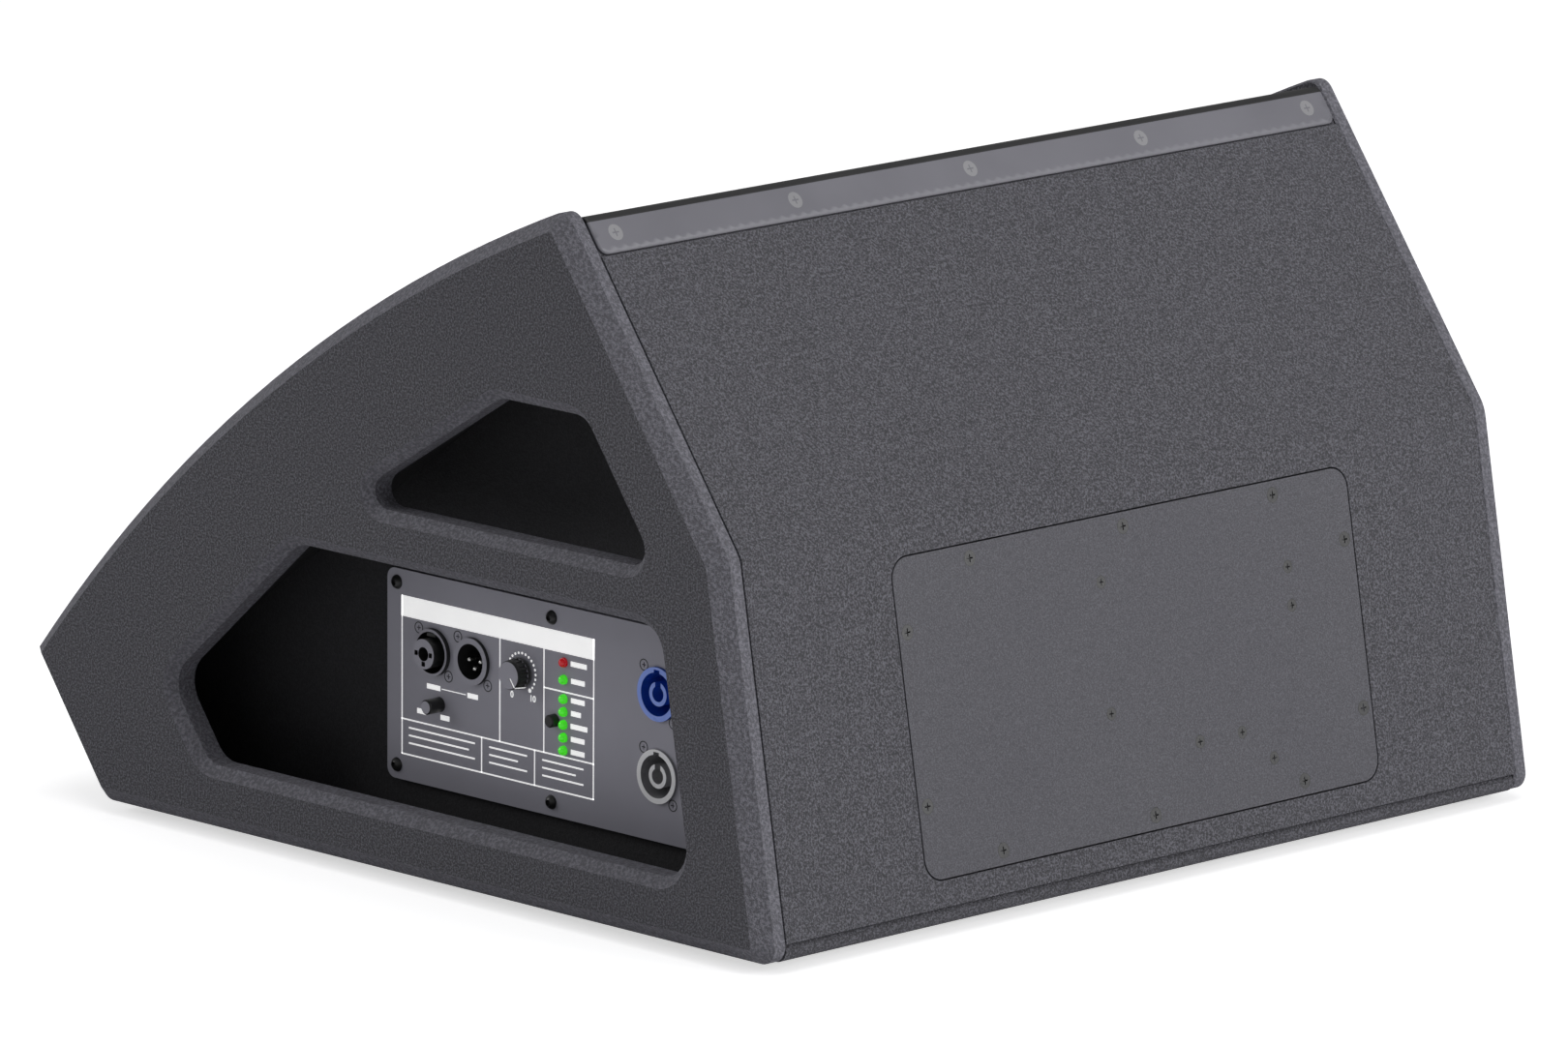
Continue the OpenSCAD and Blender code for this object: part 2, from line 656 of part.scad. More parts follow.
module ring_magnet() { color([0.2, 0.2, 0.21]) magnet_disc(ring_z, ring_t, magnet_r, coil_r + 9); }
module pole_piece() {
    pole_z = ring_z - fit - 7;
    color([0.55, 0.56, 0.58]) on_woofer() difference() {
        union() {
            translate([0, 0, pole_z]) cylinder(h = 7, r = magnet_r - 2);
            translate([0, 0, pole_z]) cylinder(h = basket_z + 1 - pole_z, r = coil_r - 1.6);
        }
        translate([0, 0, pole_z - 1]) cylinder(h = 60, r = throat_r);
    }
}
module horn() {
    z0 = basket_z + 1 + fit;
    mouth = coil_r - 5;
    rise = -18 - z0;
    color([0.09, 0.09, 0.09]) on_woofer() rotate_extrude($fn = 96) polygon(concat(
        [for (i = [0 : 10]) [throat_r + (mouth - throat_r) * pow(i / 10, 1.6), z0 + rise * i / 10]],
        [[mouth + 2, z0 + rise], [mouth + 2, z0 + rise - 2]],
        [for (i = [9 : -1 : 1]) [throat_r + 2 + (mouth - throat_r) * pow(i / 10, 1.6), z0 + rise * i / 10]],
        [[throat_r + 8, z0 + 4], [throat_r + 8, z0]]));
}
module compression_driver() {
    z0 = ring_z - 2 * fit - 7;
    color([0.14, 0.14, 0.15]) on_woofer() difference() {
        union() {
            translate([0, 0, z0 - 10]) cylinder(h = 10, r = 40);
            translate([0, 0, z0 - 26]) cylinder(h = 16, r = 44);
            translate([0, 0, z0 - 36]) cylinder(h = 10, r1 = 32, r2 = 38);
        }
        translate([0, 0, z0 - 14]) cylinder(h = 15, r = throat_r);
    }
}

// --- Rear plate and amplifier ---
module rear_plate() {
    color([0.22, 0.22, 0.23]) difference() {
        on_rear() translate([0, plate_mid, 0]) round_plate(plate_w, plate_h, plate_r, plate_t);
        plate_ring() flat_hole(plate_head_r, plate_shank_r, plate_screw_len);
        at_spots(module_spots) mirror([0, 0, 1]) flat_hole(module_head_r, module_shank_r, module_screw_len);
    }
}
module rear_plate_gasket() {
    color([0.05, 0.05, 0.05]) difference() {
        on_rear() translate([0, plate_mid, plate_t + fit]) difference() {
            round_plate(plate_w, plate_h, plate_r, gasket_t - 2 * fit);
            translate([0, 0, -1]) round_plate(plate_w - 28, plate_h - 28, plate_r, gasket_t + 2);
        }
        plate_ring() flat_hole(plate_head_r, plate_shank_r, plate_screw_len);
    }
}
module rear_plate_screws() {
    color([0.1, 0.1, 0.1]) plate_ring() flat_screw(plate_head_r, plate_shank_r, plate_screw_len);
}
module module_screws() {
    color([0.1, 0.1, 0.1]) at_spots(module_spots) mirror([0, 0, 1])
        flat_screw(module_head_r, module_shank_r, module_screw_len);
}
spacer_h = 16;
board_s = [34, 148];
board_x = [-92, 36];
board_in = plate_t + spacer_h + 2 * fit;
module amp_spacers() {
    color([0.75, 0.7, 0.5]) at_spots(spacer_spots) translate([0, 0, plate_t + fit]) difference() {
        cylinder(h = spacer_h, r = 4, $fn = 48);
        translate([0, 0, -1]) cylinder(h = 9, r = module_shank_r + fit);
    }
}
module amp_board() {
    color([0.1, 0.35, 0.2]) on_rear() translate([board_x[0], board_s[0], board_in])
        cube([board_x[1] - board_x[0], board_s[1] - board_s[0], 1.6]);
}
module heat_spreader() {
    fins = 9;
    run = 46;
    color([0.65, 0.66, 0.68]) difference() {
        on_rear() translate([-48 - run / 2, 49, plate_t + fit]) {
            cube([run, 16, 4]);
            for (i = [0 : fins - 1]) translate([i * (run - 1.6) / (fins - 1), 0, 0]) cube([1.6, 16, spacer_h - 1]);
        }
        at_spots(spreader_spots) mirror([0, 0, 1]) translate([0, 0, -20])
            cylinder(h = 20, r = module_shank_r + fit);
        at_spots(spreader_spots) translate([0, 0, plate_t + 4]) cylinder(h = spacer_h, r = 3.5);
    }
}
module output_transistors() {
    color([0.08, 0.08, 0.08]) difference() {
        union() {
            at_spots(transistor_spots) translate([-8, -7.5, plate_t + fit]) cube([16, 15, 5]);
            at_spots(transistor_spots) for (y = [-4, 0, 4]) translate([8 - thin, y - 0.6, plate_t + 2]) cube([6, 1.2, 1]);
            at_spots(transistor_spots) for (y = [-4, 0, 4]) translate([13, y - 0.6, plate_t + 2])
                cube([1, 1.2, spacer_h - 2 + fit]);
        }
        at_spots(transistor_spots) cylinder(h = 12, r = module_shank_r + fit);
    }
}
module supply_transformer() {
    color([0.5, 0.42, 0.2]) on_rear() translate([-70, 88, board_in + 1.6 + fit]) {
        difference() {
            cube([44, 40, 32]);
            for (x = [6, 30]) translate([x, -1, 8]) cube([8, 42, 16]);
        }
    }
}
module filter_capacitors() {
    color([0.15, 0.2, 0.35]) on_rear() for (x = [-8, 18], y = [56, 84, 112])
        translate([x, y, board_in + 1.6 + fit]) cylinder(h = 34, r = 11);
}

// --- Connector plate ---
con_shank_r = 1.9;
con_screw_len = 13;
screw_head_r = 2.4;
screw_shank_r = 1.4;
knob_bush_r = 3.5;
module connector_plate() {
    color([0.42, 0.42, 0.44]) difference() {
        on_panel() translate([con_l / 2, con_h / 2, -con_t]) round_plate(con_l, con_h, 5, con_t);
        on_panel() translate([0, 0, -con_t - 1]) {
            for (p = socket_list) translate([p[0], p[1], 0]) cylinder(h = con_t + 2, r = socket_r + fit);
            for (p = mains_list) translate([p[0], p[1], 0]) cylinder(h = con_t + 2, r = mains_r + fit);
            translate([knob_x, socket_y, 0]) cylinder(h = con_t + 2, r = knob_bush_r + fit);
            for (y = concat(light_ys, [clip_y])) translate([lights_x, y, 0]) cylinder(h = con_t + 2, r = light_r + fit);
            translate([preset_x, preset_y, 0]) cylinder(h = con_t + 2, r = preset_r + run_gap);
            translate([level_x, level_y, 0]) cylinder(h = con_t + 2, r = level_r + run_gap);
        }
        at_plate_screws() translate([0, 0, -con_t - 1]) cylinder(h = con_t + 2, r = con_shank_r + fit);
        at_socket_screws() flat_hole(screw_head_r, screw_shank_r, 8);
    }
}
module connector_plate_gasket() {
    color([0.05, 0.05, 0.05]) difference() {
        on_panel() translate([con_l / 2, con_h / 2, -con_t - gasket_t + fit]) difference() {
            round_plate(con_l, con_h, 5, gasket_t - 2 * fit);
            translate([0, 0, -1]) round_plate(con_l - 26, con_h - 22, 4, gasket_t + 2);
        }
        at_plate_screws() translate([0, 0, -con_t - 5]) cylinder(h = 8, r = con_shank_r + fit);
    }
}
module connector_plate_screws() {
    color([0.05, 0.05, 0.05]) at_plate_screws() translate([0, 0, fit]) button_screw(3.4, 2.4, con_shank_r, con_screw_len);
}
// Square flange that seats a socket on the back of the plate, with its screw holes
module socket_flange(w, h, half) {
    difference() {
        translate([-w / 2, -h / 2, -con_t - fit - 3]) cube([w, h, 3]);
        for (s = [-1, 1]) translate([s * half[0], -s * half[1], -con_t - 5]) cylinder(h = 6, r = screw_shank_r + fit);
    }
}
socket_deep = 24;
module socket_shell(proud, cup_r, cup_deep) {
    difference() {
        union() {
            socket_flange(25.6, 25.6, round_half);
            translate([0, 0, -socket_deep]) cylinder(h = socket_deep + proud, r = socket_r);
        }
        translate([0, 0, -cup_deep]) cylinder(h = cup_deep + proud + 1, r = cup_r);
    }
}
latch_half = 3;
latch_in = 7.4;
latch_out = 9;
module input_socket() {
    core_r = 7;
    core_front = 6.6;
    slot = 2.3;
    color([0.07, 0.07, 0.08]) on_panel() translate([input_x, socket_y, 0]) difference() {
        union() {
            socket_shell(2.3, 9.75, socket_deep - 4);
            translate([0, 0, -socket_deep]) cylinder(h = socket_deep + core_front, r = core_r);
        }
        translate([0, 0, -socket_deep + 2]) cylinder(h = 2 * socket_deep, r = jack_r);
        for (a = [0, 180, 270]) rotate(a) translate([jack_r + 0.3, -slot / 2, -7]) cube([2.2, slot, 20]);
        translate([-latch_half - run_gap, latch_in - run_gap, -socket_deep - 1])
            cube([2 * (latch_half + run_gap), latch_out - latch_in + 2 * run_gap, 6]);
    }
}
// Release tab in the ring-shaped space at the top
module socket_latch() {
    color([0.05, 0.05, 0.05]) on_panel() translate([input_x, socket_y, 0])
        translate([-latch_half, latch_in, -socket_deep + 1.5])
            cube([2 * latch_half, latch_out - latch_in, socket_deep]);
}
module link_socket() {
    color([0.06, 0.06, 0.07]) on_panel() translate([link_x, socket_y, 0]) difference() {
        socket_shell(1.8, 8.3, 15);
        link_spots() translate([0, 0, -socket_deep - 1]) cylinder(h = 14, r = 1.2 + fit);
    }
}
module link_spots() { for (a = [0, 180, 270]) rotate(a) translate([3.8, 0, 0]) children(); }
module link_pins() {
    color([0.8, 0.8, 0.78]) on_panel() translate([link_x, socket_y, 0]) link_spots() {
        translate([0, 0, -socket_deep - 4]) cylinder(h = socket_deep + 2.3, r = 1.2);
        translate([0, 0, -1.7 - thin]) sphere(1.2, $fn = 32);
    }
}
hub_deep = 14;
module at_contacts() { for (a = [90, 210, 330]) rotate(a) translate([2, 0, 0]) children(); }
module mains_shell() {
    cup_r = mains_r - 2.5;
    hub_r = 5.6;
    difference() {
        union() {
            socket_flange(26, 31, mains_half);
            translate([0, 0, -socket_deep]) cylinder(h = socket_deep + 1.4, r = mains_r);
        }
        translate([0, 0, -18]) difference() {
            union() {
                cylinder(h = 20, r = cup_r);
                translate([-1.8, 0, 0]) cube([3.6, cup_r + 1.3, 20]);
            }
            translate([0, 0, -1]) cylinder(h = 19.5, r = hub_r);
        }
        translate([0, 0, -hub_deep]) cylinder(h = 16, r = 3.6);
        translate([-1.8, 0, -hub_deep]) cube([3.6, hub_r + 1, 16]);
        at_contacts() translate([0, 0, -socket_deep - 1]) cylinder(h = 16, r = 0.9 + fit);
    }
}
module mains_inlet() { color([0.12, 0.3, 0.78]) on_panel() translate([mains_x, inlet_y, 0]) mains_shell(); }
module mains_outlet() { color([0.66, 0.67, 0.7]) on_panel() translate([mains_x, outlet_y, 0]) mains_shell(); }
module mains_contacts() {
    color([0.8, 0.7, 0.4]) on_panel() for (p = mains_list) translate([p[0], p[1], 0])
        at_contacts() translate([0, 0, -socket_deep - 5]) cylinder(h = socket_deep - 3, r = 0.9);
}
module socket_screws() {
    color([0.45, 0.45, 0.47]) at_socket_screws() flat_screw(screw_head_r, screw_shank_r, 5);
}
shaft_r = 3;
module volume_control() {
    color([0.3, 0.3, 0.32]) on_panel() translate([knob_x, socket_y, 0]) difference() {
        union() {
            translate([-8, -8, board_z + 1.6 + fit]) cube([16, 16, -board_z - 1.6 - con_t - 2 * fit]);
            translate([0, 0, -con_t - 1]) cylinder(h = con_t + 2.2, r = knob_bush_r);
        }
        translate([0, 0, board_z + 4]) cylinder(h = 30, r = shaft_r + run_gap);
    }
}
module volume_shaft() {
    color([0.7, 0.7, 0.72]) on_panel() translate([knob_x, socket_y, 0])
        translate([0, 0, board_z + 4 + run_gap]) cylinder(h = knob_h - board_z - 8, r = shaft_r);
}
knob_foot = 1.6;
// The pointer rests at the last mark of the dial
pointer_at = -54;
module volume_knob() {
    flutes = 18;
    face_r = knob_r - 0.7;
    grip = knob_h - knob_foot;
    color([0.05, 0.05, 0.05]) on_panel() translate([knob_x, socket_y, 0]) difference() {
        union() {
            translate([0, 0, knob_foot]) cylinder(h = grip - 0.5, r1 = knob_r, r2 = face_r);
            translate([0, 0, knob_h - 0.5 - thin]) cylinder(h = 0.5, r1 = face_r, r2 = face_r - 0.4);
        }
        cylinder(h = knob_h - 3.5, r = shaft_r + thin);
        for (i = [0 : flutes - 1]) rotate(360 / flutes * i) translate([knob_r - 0.1, 0, knob_foot + 1.2])
            cylinder(h = grip - 3, r = 0.8);
        rotate(pointer_at) translate([1.5, -0.5, knob_h - 0.4]) cube([knob_r, 1, 1]);
    }
}
// Switch housings sit on the input board, and each button's stem runs in its housing
module button_housing(x, y, w, hole_r) {
    on_panel() translate([x, y, 0]) difference() {
        translate([-w / 2, -w / 2, board_z + 1.6 + fit]) cube([w, w, -board_z - 1.6 - con_t - 2.4]);
        translate([0, 0, board_z + 3]) cylinder(h = 20, r = hole_r + run_gap);
    }
}
stem_r = 1.6;
module button_switches() {
    // The preset switch stays clear of the row of lights
    preset_side = 2 * (lights_x - light_r - preset_x - 0.4);
    color([0.12, 0.12, 0.12]) {
        button_housing(preset_x, preset_y, preset_side, stem_r);
        button_housing(level_x, level_y, 9, stem_r);
    }
}
// Board behind the controls; it clears the two sockets
module input_board() {
    low_y = socket_y - socket_r - 3.5;
    color([0.1, 0.35, 0.2]) on_panel() translate([0, 0, board_z]) linear_extrude(1.6) polygon([
        [22, 20], [130, 20], [130, 86], [link_x + socket_r + 5, 86], [link_x + socket_r + 5, low_y], [22, low_y]]);
}
module button_stem() {
    foot = board_z + 3 + press + 0.4;
    translate([0, 0, foot]) cylinder(h = 0.5 - con_t - foot, r = stem_r);
}
module preset_button() {
    color([0.06, 0.06, 0.06]) on_panel() translate([preset_x, preset_y, 0]) {
        translate([0, 0, -con_t]) cylinder(h = con_t + 3.4, r = preset_r);
        translate([0, 0, 3.4]) cylinder(h = 0.6, r1 = preset_r, r2 = preset_r - 0.6);
        button_stem();
    }
}
module level_button() {
    reach = 8.4;
    color([0.06, 0.06, 0.06]) on_panel() translate([level_x, level_y, 0]) {
        translate([0, 0, -con_t]) cylinder(h = con_t + reach, r = level_r);
        translate([0, 0, reach - thin]) cylinder(h = 0.6, r1 = level_r, r2 = level_r - 0.6);
        button_stem();
    }
}
module light(y) {
    on_panel() translate([lights_x, y, 0]) {
        translate([0, 0, -con_t - 3]) cylinder(h = con_t + 3.6, r = light_r);
        translate([0, 0, 0.6 - thin]) sphere(light_r, $fn = 32);
    }
}
module clip_light() { color([0.8, 0.1, 0.12]) light(clip_y); }
module green_lights() { color([0.2, 0.85, 0.15]) for (y = light_ys) light(y); }

// --- Wiring: each lead is a list of points inside the cabinet ---
module lead(points, r) {
    sides = 8;
    n = len(points);
    // Direction of the lead at point i
    function along(i) = let (d = points[min(i + 1, n - 1)] - points[max(i - 1, 0)]) d / norm(d);
    rings = [for (i = [0 : n - 1])
        let (d = along(i), u = cross(d, [0.31, 0.17, 0.93]), a = u / norm(u), b = cross(d, a))
        each [for (k = [0 : sides - 1]) points[i] + r * (a * cos(45 * k) + b * sin(45 * k))]];
    skin = [for (i = [0 : n - 2], k = [0 : sides - 1])
        let (p = i * sides + k, q = i * sides + (k + 1) % sides) each [[p, q, q + sides], [p, q + sides, p + sides]]];
    polyhedron(rings, concat(skin, [[for (k = [sides - 1 : -1 : 0]) k]],
        [[for (k = [0 : sides - 1]) (n - 1) * sides + k]]));
}
// Smooth curve through hand-picked control points
function bend(p, q, r, s, t) =
    p * pow(1 - t, 3) + q * 3 * t * pow(1 - t, 2) + r * 3 * t * t * (1 - t) + s * t * t * t;
function curve(p, q, r, s, steps = 12) = [for (i = [0 : steps]) bend(p, q, r, s, i / steps)];
// Point over the amplifier board, and point behind the woofer, as [x, y, z] in the cabinet
function over_board(x, s, gap) = let (p = heel + rear_up * s + rear_in * (board_in + 1.6 + gap)) [x, p[0], p[1]];
function off_woofer(x, y, z) = let (p = apex + face_down * (woofer_u - y) + back_up * (z - baffle_set)) [x, p[0], p[1]];
lead_gap = 0.8;
driver_end = ring_z - 2 * fit - 7 - 36;
module wiring_loom() {
    mains_end = [wall_x - socket_deep - 5 - lead_gap, con_y + mains_x, foot_h + con_z + inlet_y];
    link_end = [wall_x - socket_deep - 4 - lead_gap, con_y + link_x, foot_h + con_z + socket_y];
    spoke_r = (magnet_r + woofer_hole_r) / 2;
    spoke_z = (basket_z - 12.5) / 2;
    color([0.15, 0.15, 0.16]) {
        lead(curve(mains_end, mains_end - [60, 0, 0], over_board(30, 36, 70), over_board(30, 40, lead_gap)), 4);
        lead(curve(link_end, link_end - [50, 0, 0], over_board(5, 28, 90), over_board(5, 40, lead_gap)), 3);
        lead(curve(over_board(-50, 60, lead_gap), over_board(-50, 60, 40), off_woofer(0, 22, driver_end - 30),
            off_woofer(0, 22, driver_end - lead_gap)), 3);
        lead(curve(over_board(-80, 60, lead_gap), over_board(-80, 60, 60),
            off_woofer(-spoke_r / 2 - 12, spoke_r * 0.87 + 20, spoke_z - 24),
            off_woofer(-spoke_r / 2 - 0.6, spoke_r * 0.87 + 1, spoke_z - 1)), 3);
    }
}

// --- Feet ---
foot_shank_r = 2;
module foot_spots() {
    for (x = [-1, 1], y = [toe[0] + foot_in, heel[0] - foot_in]) translate([x * (core_x - foot_in + 15), y, 0]) children();
}
module rubber_feet() {
    color([0.05, 0.05, 0.05]) foot_spots() difference() {
        translate([0, 0, 0]) cylinder(h = foot_h - fit, r1 = foot_r - 1.5, r2 = foot_r);
        translate([0, 0, -1]) cylinder(h = 3.4, r = 4.6);
        translate([0, 0, -1]) cylinder(h = foot_h + 2, r = foot_shank_r + fit);
    }
}
module foot_screws() {
    color([0.6, 0.6, 0.6]) foot_spots() {
        translate([0, 0, 1]) cylinder(h = 1.3, r = 4);
        translate([0, 0, 2.2]) cylinder(h = foot_h + 3.5, r = foot_shank_r);
    }
}

cheek_right();
cheek_left();
bottom_board();
rear_lower_panel();
rear_upper_panel();
baffle_board();
nose_panel();
pocket_wall_right();
pocket_wall_left();
glue_blocks();
grille();
grille_foam();
grille_screws();
wadding();
port_tubes();
woofer_frame();
woofer_gasket();
woofer_screws();
woofer_cone();
woofer_surround();
woofer_spider();
voice_coil();
top_plate();
ring_magnet();
pole_piece();
horn();
compression_driver();
rear_plate();
rear_plate_gasket();
rear_plate_screws();
module_screws();
amp_board();
amp_spacers();
heat_spreader();
output_transistors();
supply_transformer();
filter_capacitors();
connector_plate();
connector_plate_gasket();
connector_plate_screws();
input_socket();
socket_latch();
link_socket();
link_pins();
mains_inlet();
mains_outlet();
mains_contacts();
socket_screws();
volume_control();
volume_shaft();
volume_knob();
button_switches();
preset_button();
input_board();
level_button();
clip_light();
green_lights();
wiring_loom();
rubber_feet();
foot_screws();
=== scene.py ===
import bpy
import bmesh
import json
import math
from mathutils import Matrix, Vector


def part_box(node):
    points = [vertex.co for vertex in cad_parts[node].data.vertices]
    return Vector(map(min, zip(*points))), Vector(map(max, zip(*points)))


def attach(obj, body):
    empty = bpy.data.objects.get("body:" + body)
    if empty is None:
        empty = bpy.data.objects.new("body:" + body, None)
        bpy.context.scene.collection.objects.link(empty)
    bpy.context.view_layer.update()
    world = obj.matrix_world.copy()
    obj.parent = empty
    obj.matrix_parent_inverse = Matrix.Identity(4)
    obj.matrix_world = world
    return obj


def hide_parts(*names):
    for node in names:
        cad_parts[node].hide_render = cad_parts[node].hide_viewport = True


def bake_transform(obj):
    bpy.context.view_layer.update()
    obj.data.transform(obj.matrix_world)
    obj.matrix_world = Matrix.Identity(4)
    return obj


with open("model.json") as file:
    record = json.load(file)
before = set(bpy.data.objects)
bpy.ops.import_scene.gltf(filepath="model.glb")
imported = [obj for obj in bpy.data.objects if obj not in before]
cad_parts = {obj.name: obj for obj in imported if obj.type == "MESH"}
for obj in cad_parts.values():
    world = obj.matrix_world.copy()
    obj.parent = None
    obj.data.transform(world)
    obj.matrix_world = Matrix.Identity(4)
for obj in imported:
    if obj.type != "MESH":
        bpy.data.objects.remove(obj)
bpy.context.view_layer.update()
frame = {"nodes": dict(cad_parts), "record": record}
nodes = frame["nodes"]


print("frame loaded:", len(nodes), "nodes")

# Camera: seen from behind, over the connector cheek
shot = {
    "azimuth": 135.14,
    "elevation": 12.21,
    "roll": 0.39,
    "distance": 6.102,
    "lens": 302.0,
    "target": (0.0218, 0.0214, 0.1379),
}


def makeCamera(s):
    az, el = math.radians(s["azimuth"]), math.radians(s["elevation"])
    back = Vector((math.sin(az) * math.cos(el), -math.cos(az) * math.cos(el), math.sin(el)))
    cam = bpy.data.cameras.new("shotCamera")
    cam.lens = s["lens"]
    cam.sensor_width = 36
    cam.clip_end = 100
    ob = bpy.data.objects.new("shotCamera", cam)
    bpy.context.scene.collection.objects.link(ob)
    turn = back.to_track_quat("Z", "Y").to_matrix() @ Matrix.Rotation(math.radians(s["roll"]), 3, "Z")
    ob.matrix_world = Matrix.Translation(Vector(s["target"]) + back * s["distance"]) @ turn.to_4x4()
    bpy.context.scene.camera = ob


makeCamera(shot)

# Soft boxes: where each stands, how large it is, and its power
studio = {
    "rearBox": {"at": (-1.6, 3.4, 1.15), "size": 2.4, "power": 92.0},
    "topBox": {"at": (0.4, 0.8, 3.6), "size": 3.0, "power": 40.0},
    "sideBox": {"at": (4.2, 1.2, 1.6), "size": 2.0, "power": 3.0},
    "noseBox": {"at": (2.2, -3.2, 2.0), "size": 2.2, "power": 46.0},
}
room = {"ambient": 0.26, "floorColour": (0.86, 0.86, 0.87), "floorLift": 0.6, "floorSize": 26.0}


def makeLights(boxes):
    for name, b in boxes.items():
        light = bpy.data.lights.new(name, "AREA")
        light.shape = "SQUARE"
        light.size = b["size"]
        light.energy = b["power"]
        ob = bpy.data.objects.new(name, light)
        bpy.context.scene.collection.objects.link(ob)
        aim = Vector((0, 0, 0.15)) - Vector(b["at"])
        ob.matrix_world = Matrix.Translation(b["at"]) @ aim.to_track_quat("-Z", "Y").to_matrix().to_4x4()


def makeRoom(r):
    world = bpy.data.worlds.new("room")
    bpy.context.scene.world = world
    world.use_nodes = True
    tree = world.node_tree
    tree.nodes.clear()
    out = tree.nodes.new("ShaderNodeOutputWorld")
    path = tree.nodes.new("ShaderNodeLightPath")
    soft = tree.nodes.new("ShaderNodeBackground")
    soft.inputs["Color"].default_value = (1, 1, 1, 1)
    soft.inputs["Strength"].default_value = r["ambient"]
    white = tree.nodes.new("ShaderNodeBackground")
    white.inputs["Color"].default_value = (1, 1, 1, 1)
    pick = tree.nodes.new("ShaderNodeMixShader")
    seen = tree.nodes.new("ShaderNodeMath")
    seen.operation = "MAXIMUM"
    tree.links.new(path.outputs["Is Camera Ray"], seen.inputs[0])
    tree.links.new(path.outputs["Is Transmission Ray"], seen.inputs[1])
    tree.links.new(seen.outputs[0], pick.inputs["Fac"])
    tree.links.new(soft.outputs[0], pick.inputs[1])
    tree.links.new(white.outputs[0], pick.inputs[2])
    tree.links.new(pick.outputs[0], out.inputs["Surface"])

    mat = bpy.data.materials.new("paleFloor")
    mat.use_nodes = True
    tree = mat.node_tree
    tree.nodes.clear()
    out = tree.nodes.new("ShaderNodeOutputMaterial")
    matt = tree.nodes.new("ShaderNodeBsdfDiffuse")
    matt.inputs["Color"].default_value = (*r["floorColour"], 1)
    lift = tree.nodes.new("ShaderNodeEmission")
    path = tree.nodes.new("ShaderNodeLightPath")
    scale = tree.nodes.new("ShaderNodeMath")
    scale.operation = "MULTIPLY"
    scale.inputs[1].default_value = r["floorLift"]
    both = tree.nodes.new("ShaderNodeAddShader")
    tree.links.new(path.outputs["Is Camera Ray"], scale.inputs[0])
    tree.links.new(scale.outputs[0], lift.inputs["Strength"])
    tree.links.new(matt.outputs[0], both.inputs[0])
    tree.links.new(lift.outputs[0], both.inputs[1])
    tree.links.new(both.outputs[0], out.inputs["Surface"])
    bm = bmesh.new()
    bmesh.ops.create_grid(bm, x_segments=1, y_segments=1, size=r["floorSize"])
    mesh = bpy.data.meshes.new("studioFloor")
    bm.to_mesh(mesh)
    bm.free()
    floor = bpy.data.objects.new("studioFloor", mesh)
    floor.data.materials.append(mat)
    bpy.context.scene.collection.objects.link(floor)


makeLights(studio)
makeRoom(room)
bpy.context.scene.view_settings.view_transform = "Standard"
print("camera, lights and floor set")


# Shared effects
def newGroup(name, inputs, outputs):
    group = bpy.data.node_groups.new(name, "ShaderNodeTree")
    for label, kind in inputs:
        group.interface.new_socket(name=label, in_out="INPUT", socket_type="NodeSocket" + kind)
    for label, kind in outputs:
        group.interface.new_socket(name=label, in_out="OUTPUT", socket_type="NodeSocket" + kind)
    start = group.nodes.new("NodeGroupInput")
    end = group.nodes.new("NodeGroupOutput")
    return group, start, end


def mathNode(tree, operation, a, b, clamp=False):
    node = tree.nodes.new("ShaderNodeMath")
    node.operation = operation
    node.use_clamp = clamp
    for slot, value in enumerate((a, b)):
        if isinstance(value, (int, float)):
            node.inputs[slot].default_value = value
        else:
            tree.links.new(value, node.inputs[slot])
    return node.outputs[0]


def noiseNode(tree, vector, scale, detail=2.0, roughness=0.5):
    node = tree.nodes.new("ShaderNodeTexNoise")
    tree.links.new(vector, node.inputs["Vector"])
    if isinstance(scale, (int, float)):
        node.inputs["Scale"].default_value = scale
    else:
        tree.links.new(scale, node.inputs["Scale"])
    node.inputs["Detail"].default_value = detail
    node.inputs["Roughness"].default_value = roughness
    return node.outputs[0]


def rampNode(tree, value, low, high, toLow=0.0, toHigh=1.0):
    node = tree.nodes.new("ShaderNodeMapRange")
    tree.links.new(value, node.inputs["Value"])
    node.inputs["From Min"].default_value = low
    node.inputs["From Max"].default_value = high
    node.inputs["To Min"].default_value = toLow
    node.inputs["To Max"].default_value = toHigh
    return node.outputs["Result"]


# Sprayed texture coat: blobs with finer grit on them
def makeSprayGroup():
    group, start, end = newGroup("sprayCoat", [("Vector", "Vector"), ("Blob Scale", "Float")],
                                 [("Height", "Float"), ("Speckle", "Float")])
    vector, scale = start.outputs["Vector"], start.outputs["Blob Scale"]
    blobs = rampNode(group, noiseNode(group, vector, scale, 2.0, 0.55), 0.34, 0.68)
    grit = rampNode(group, noiseNode(group, vector, mathNode(group, "MULTIPLY", scale, 2.6), 1.0), 0.3, 0.7)
    coarse = mathNode(group, "MULTIPLY", blobs, 0.7)
    height = mathNode(group, "ADD", coarse, mathNode(group, "MULTIPLY", grit, 0.3))
    group.links.new(height, end.inputs["Height"])
    speckle = rampNode(group, height, 0.3, 0.8)
    group.links.new(speckle, end.inputs["Speckle"])
    return group


# Slow, wide change of tone, as on any handled surface
def makeHandlingGroup():
    group, start, end = newGroup("handling", [("Vector", "Vector"), ("Scale", "Float")], [("Tone", "Float")])
    vector, scale = start.outputs["Vector"], start.outputs["Scale"]
    tone = rampNode(group, noiseNode(group, vector, scale, 3.0, 0.6), 0.3, 0.7)
    group.links.new(tone, end.inputs["Tone"])
    return group


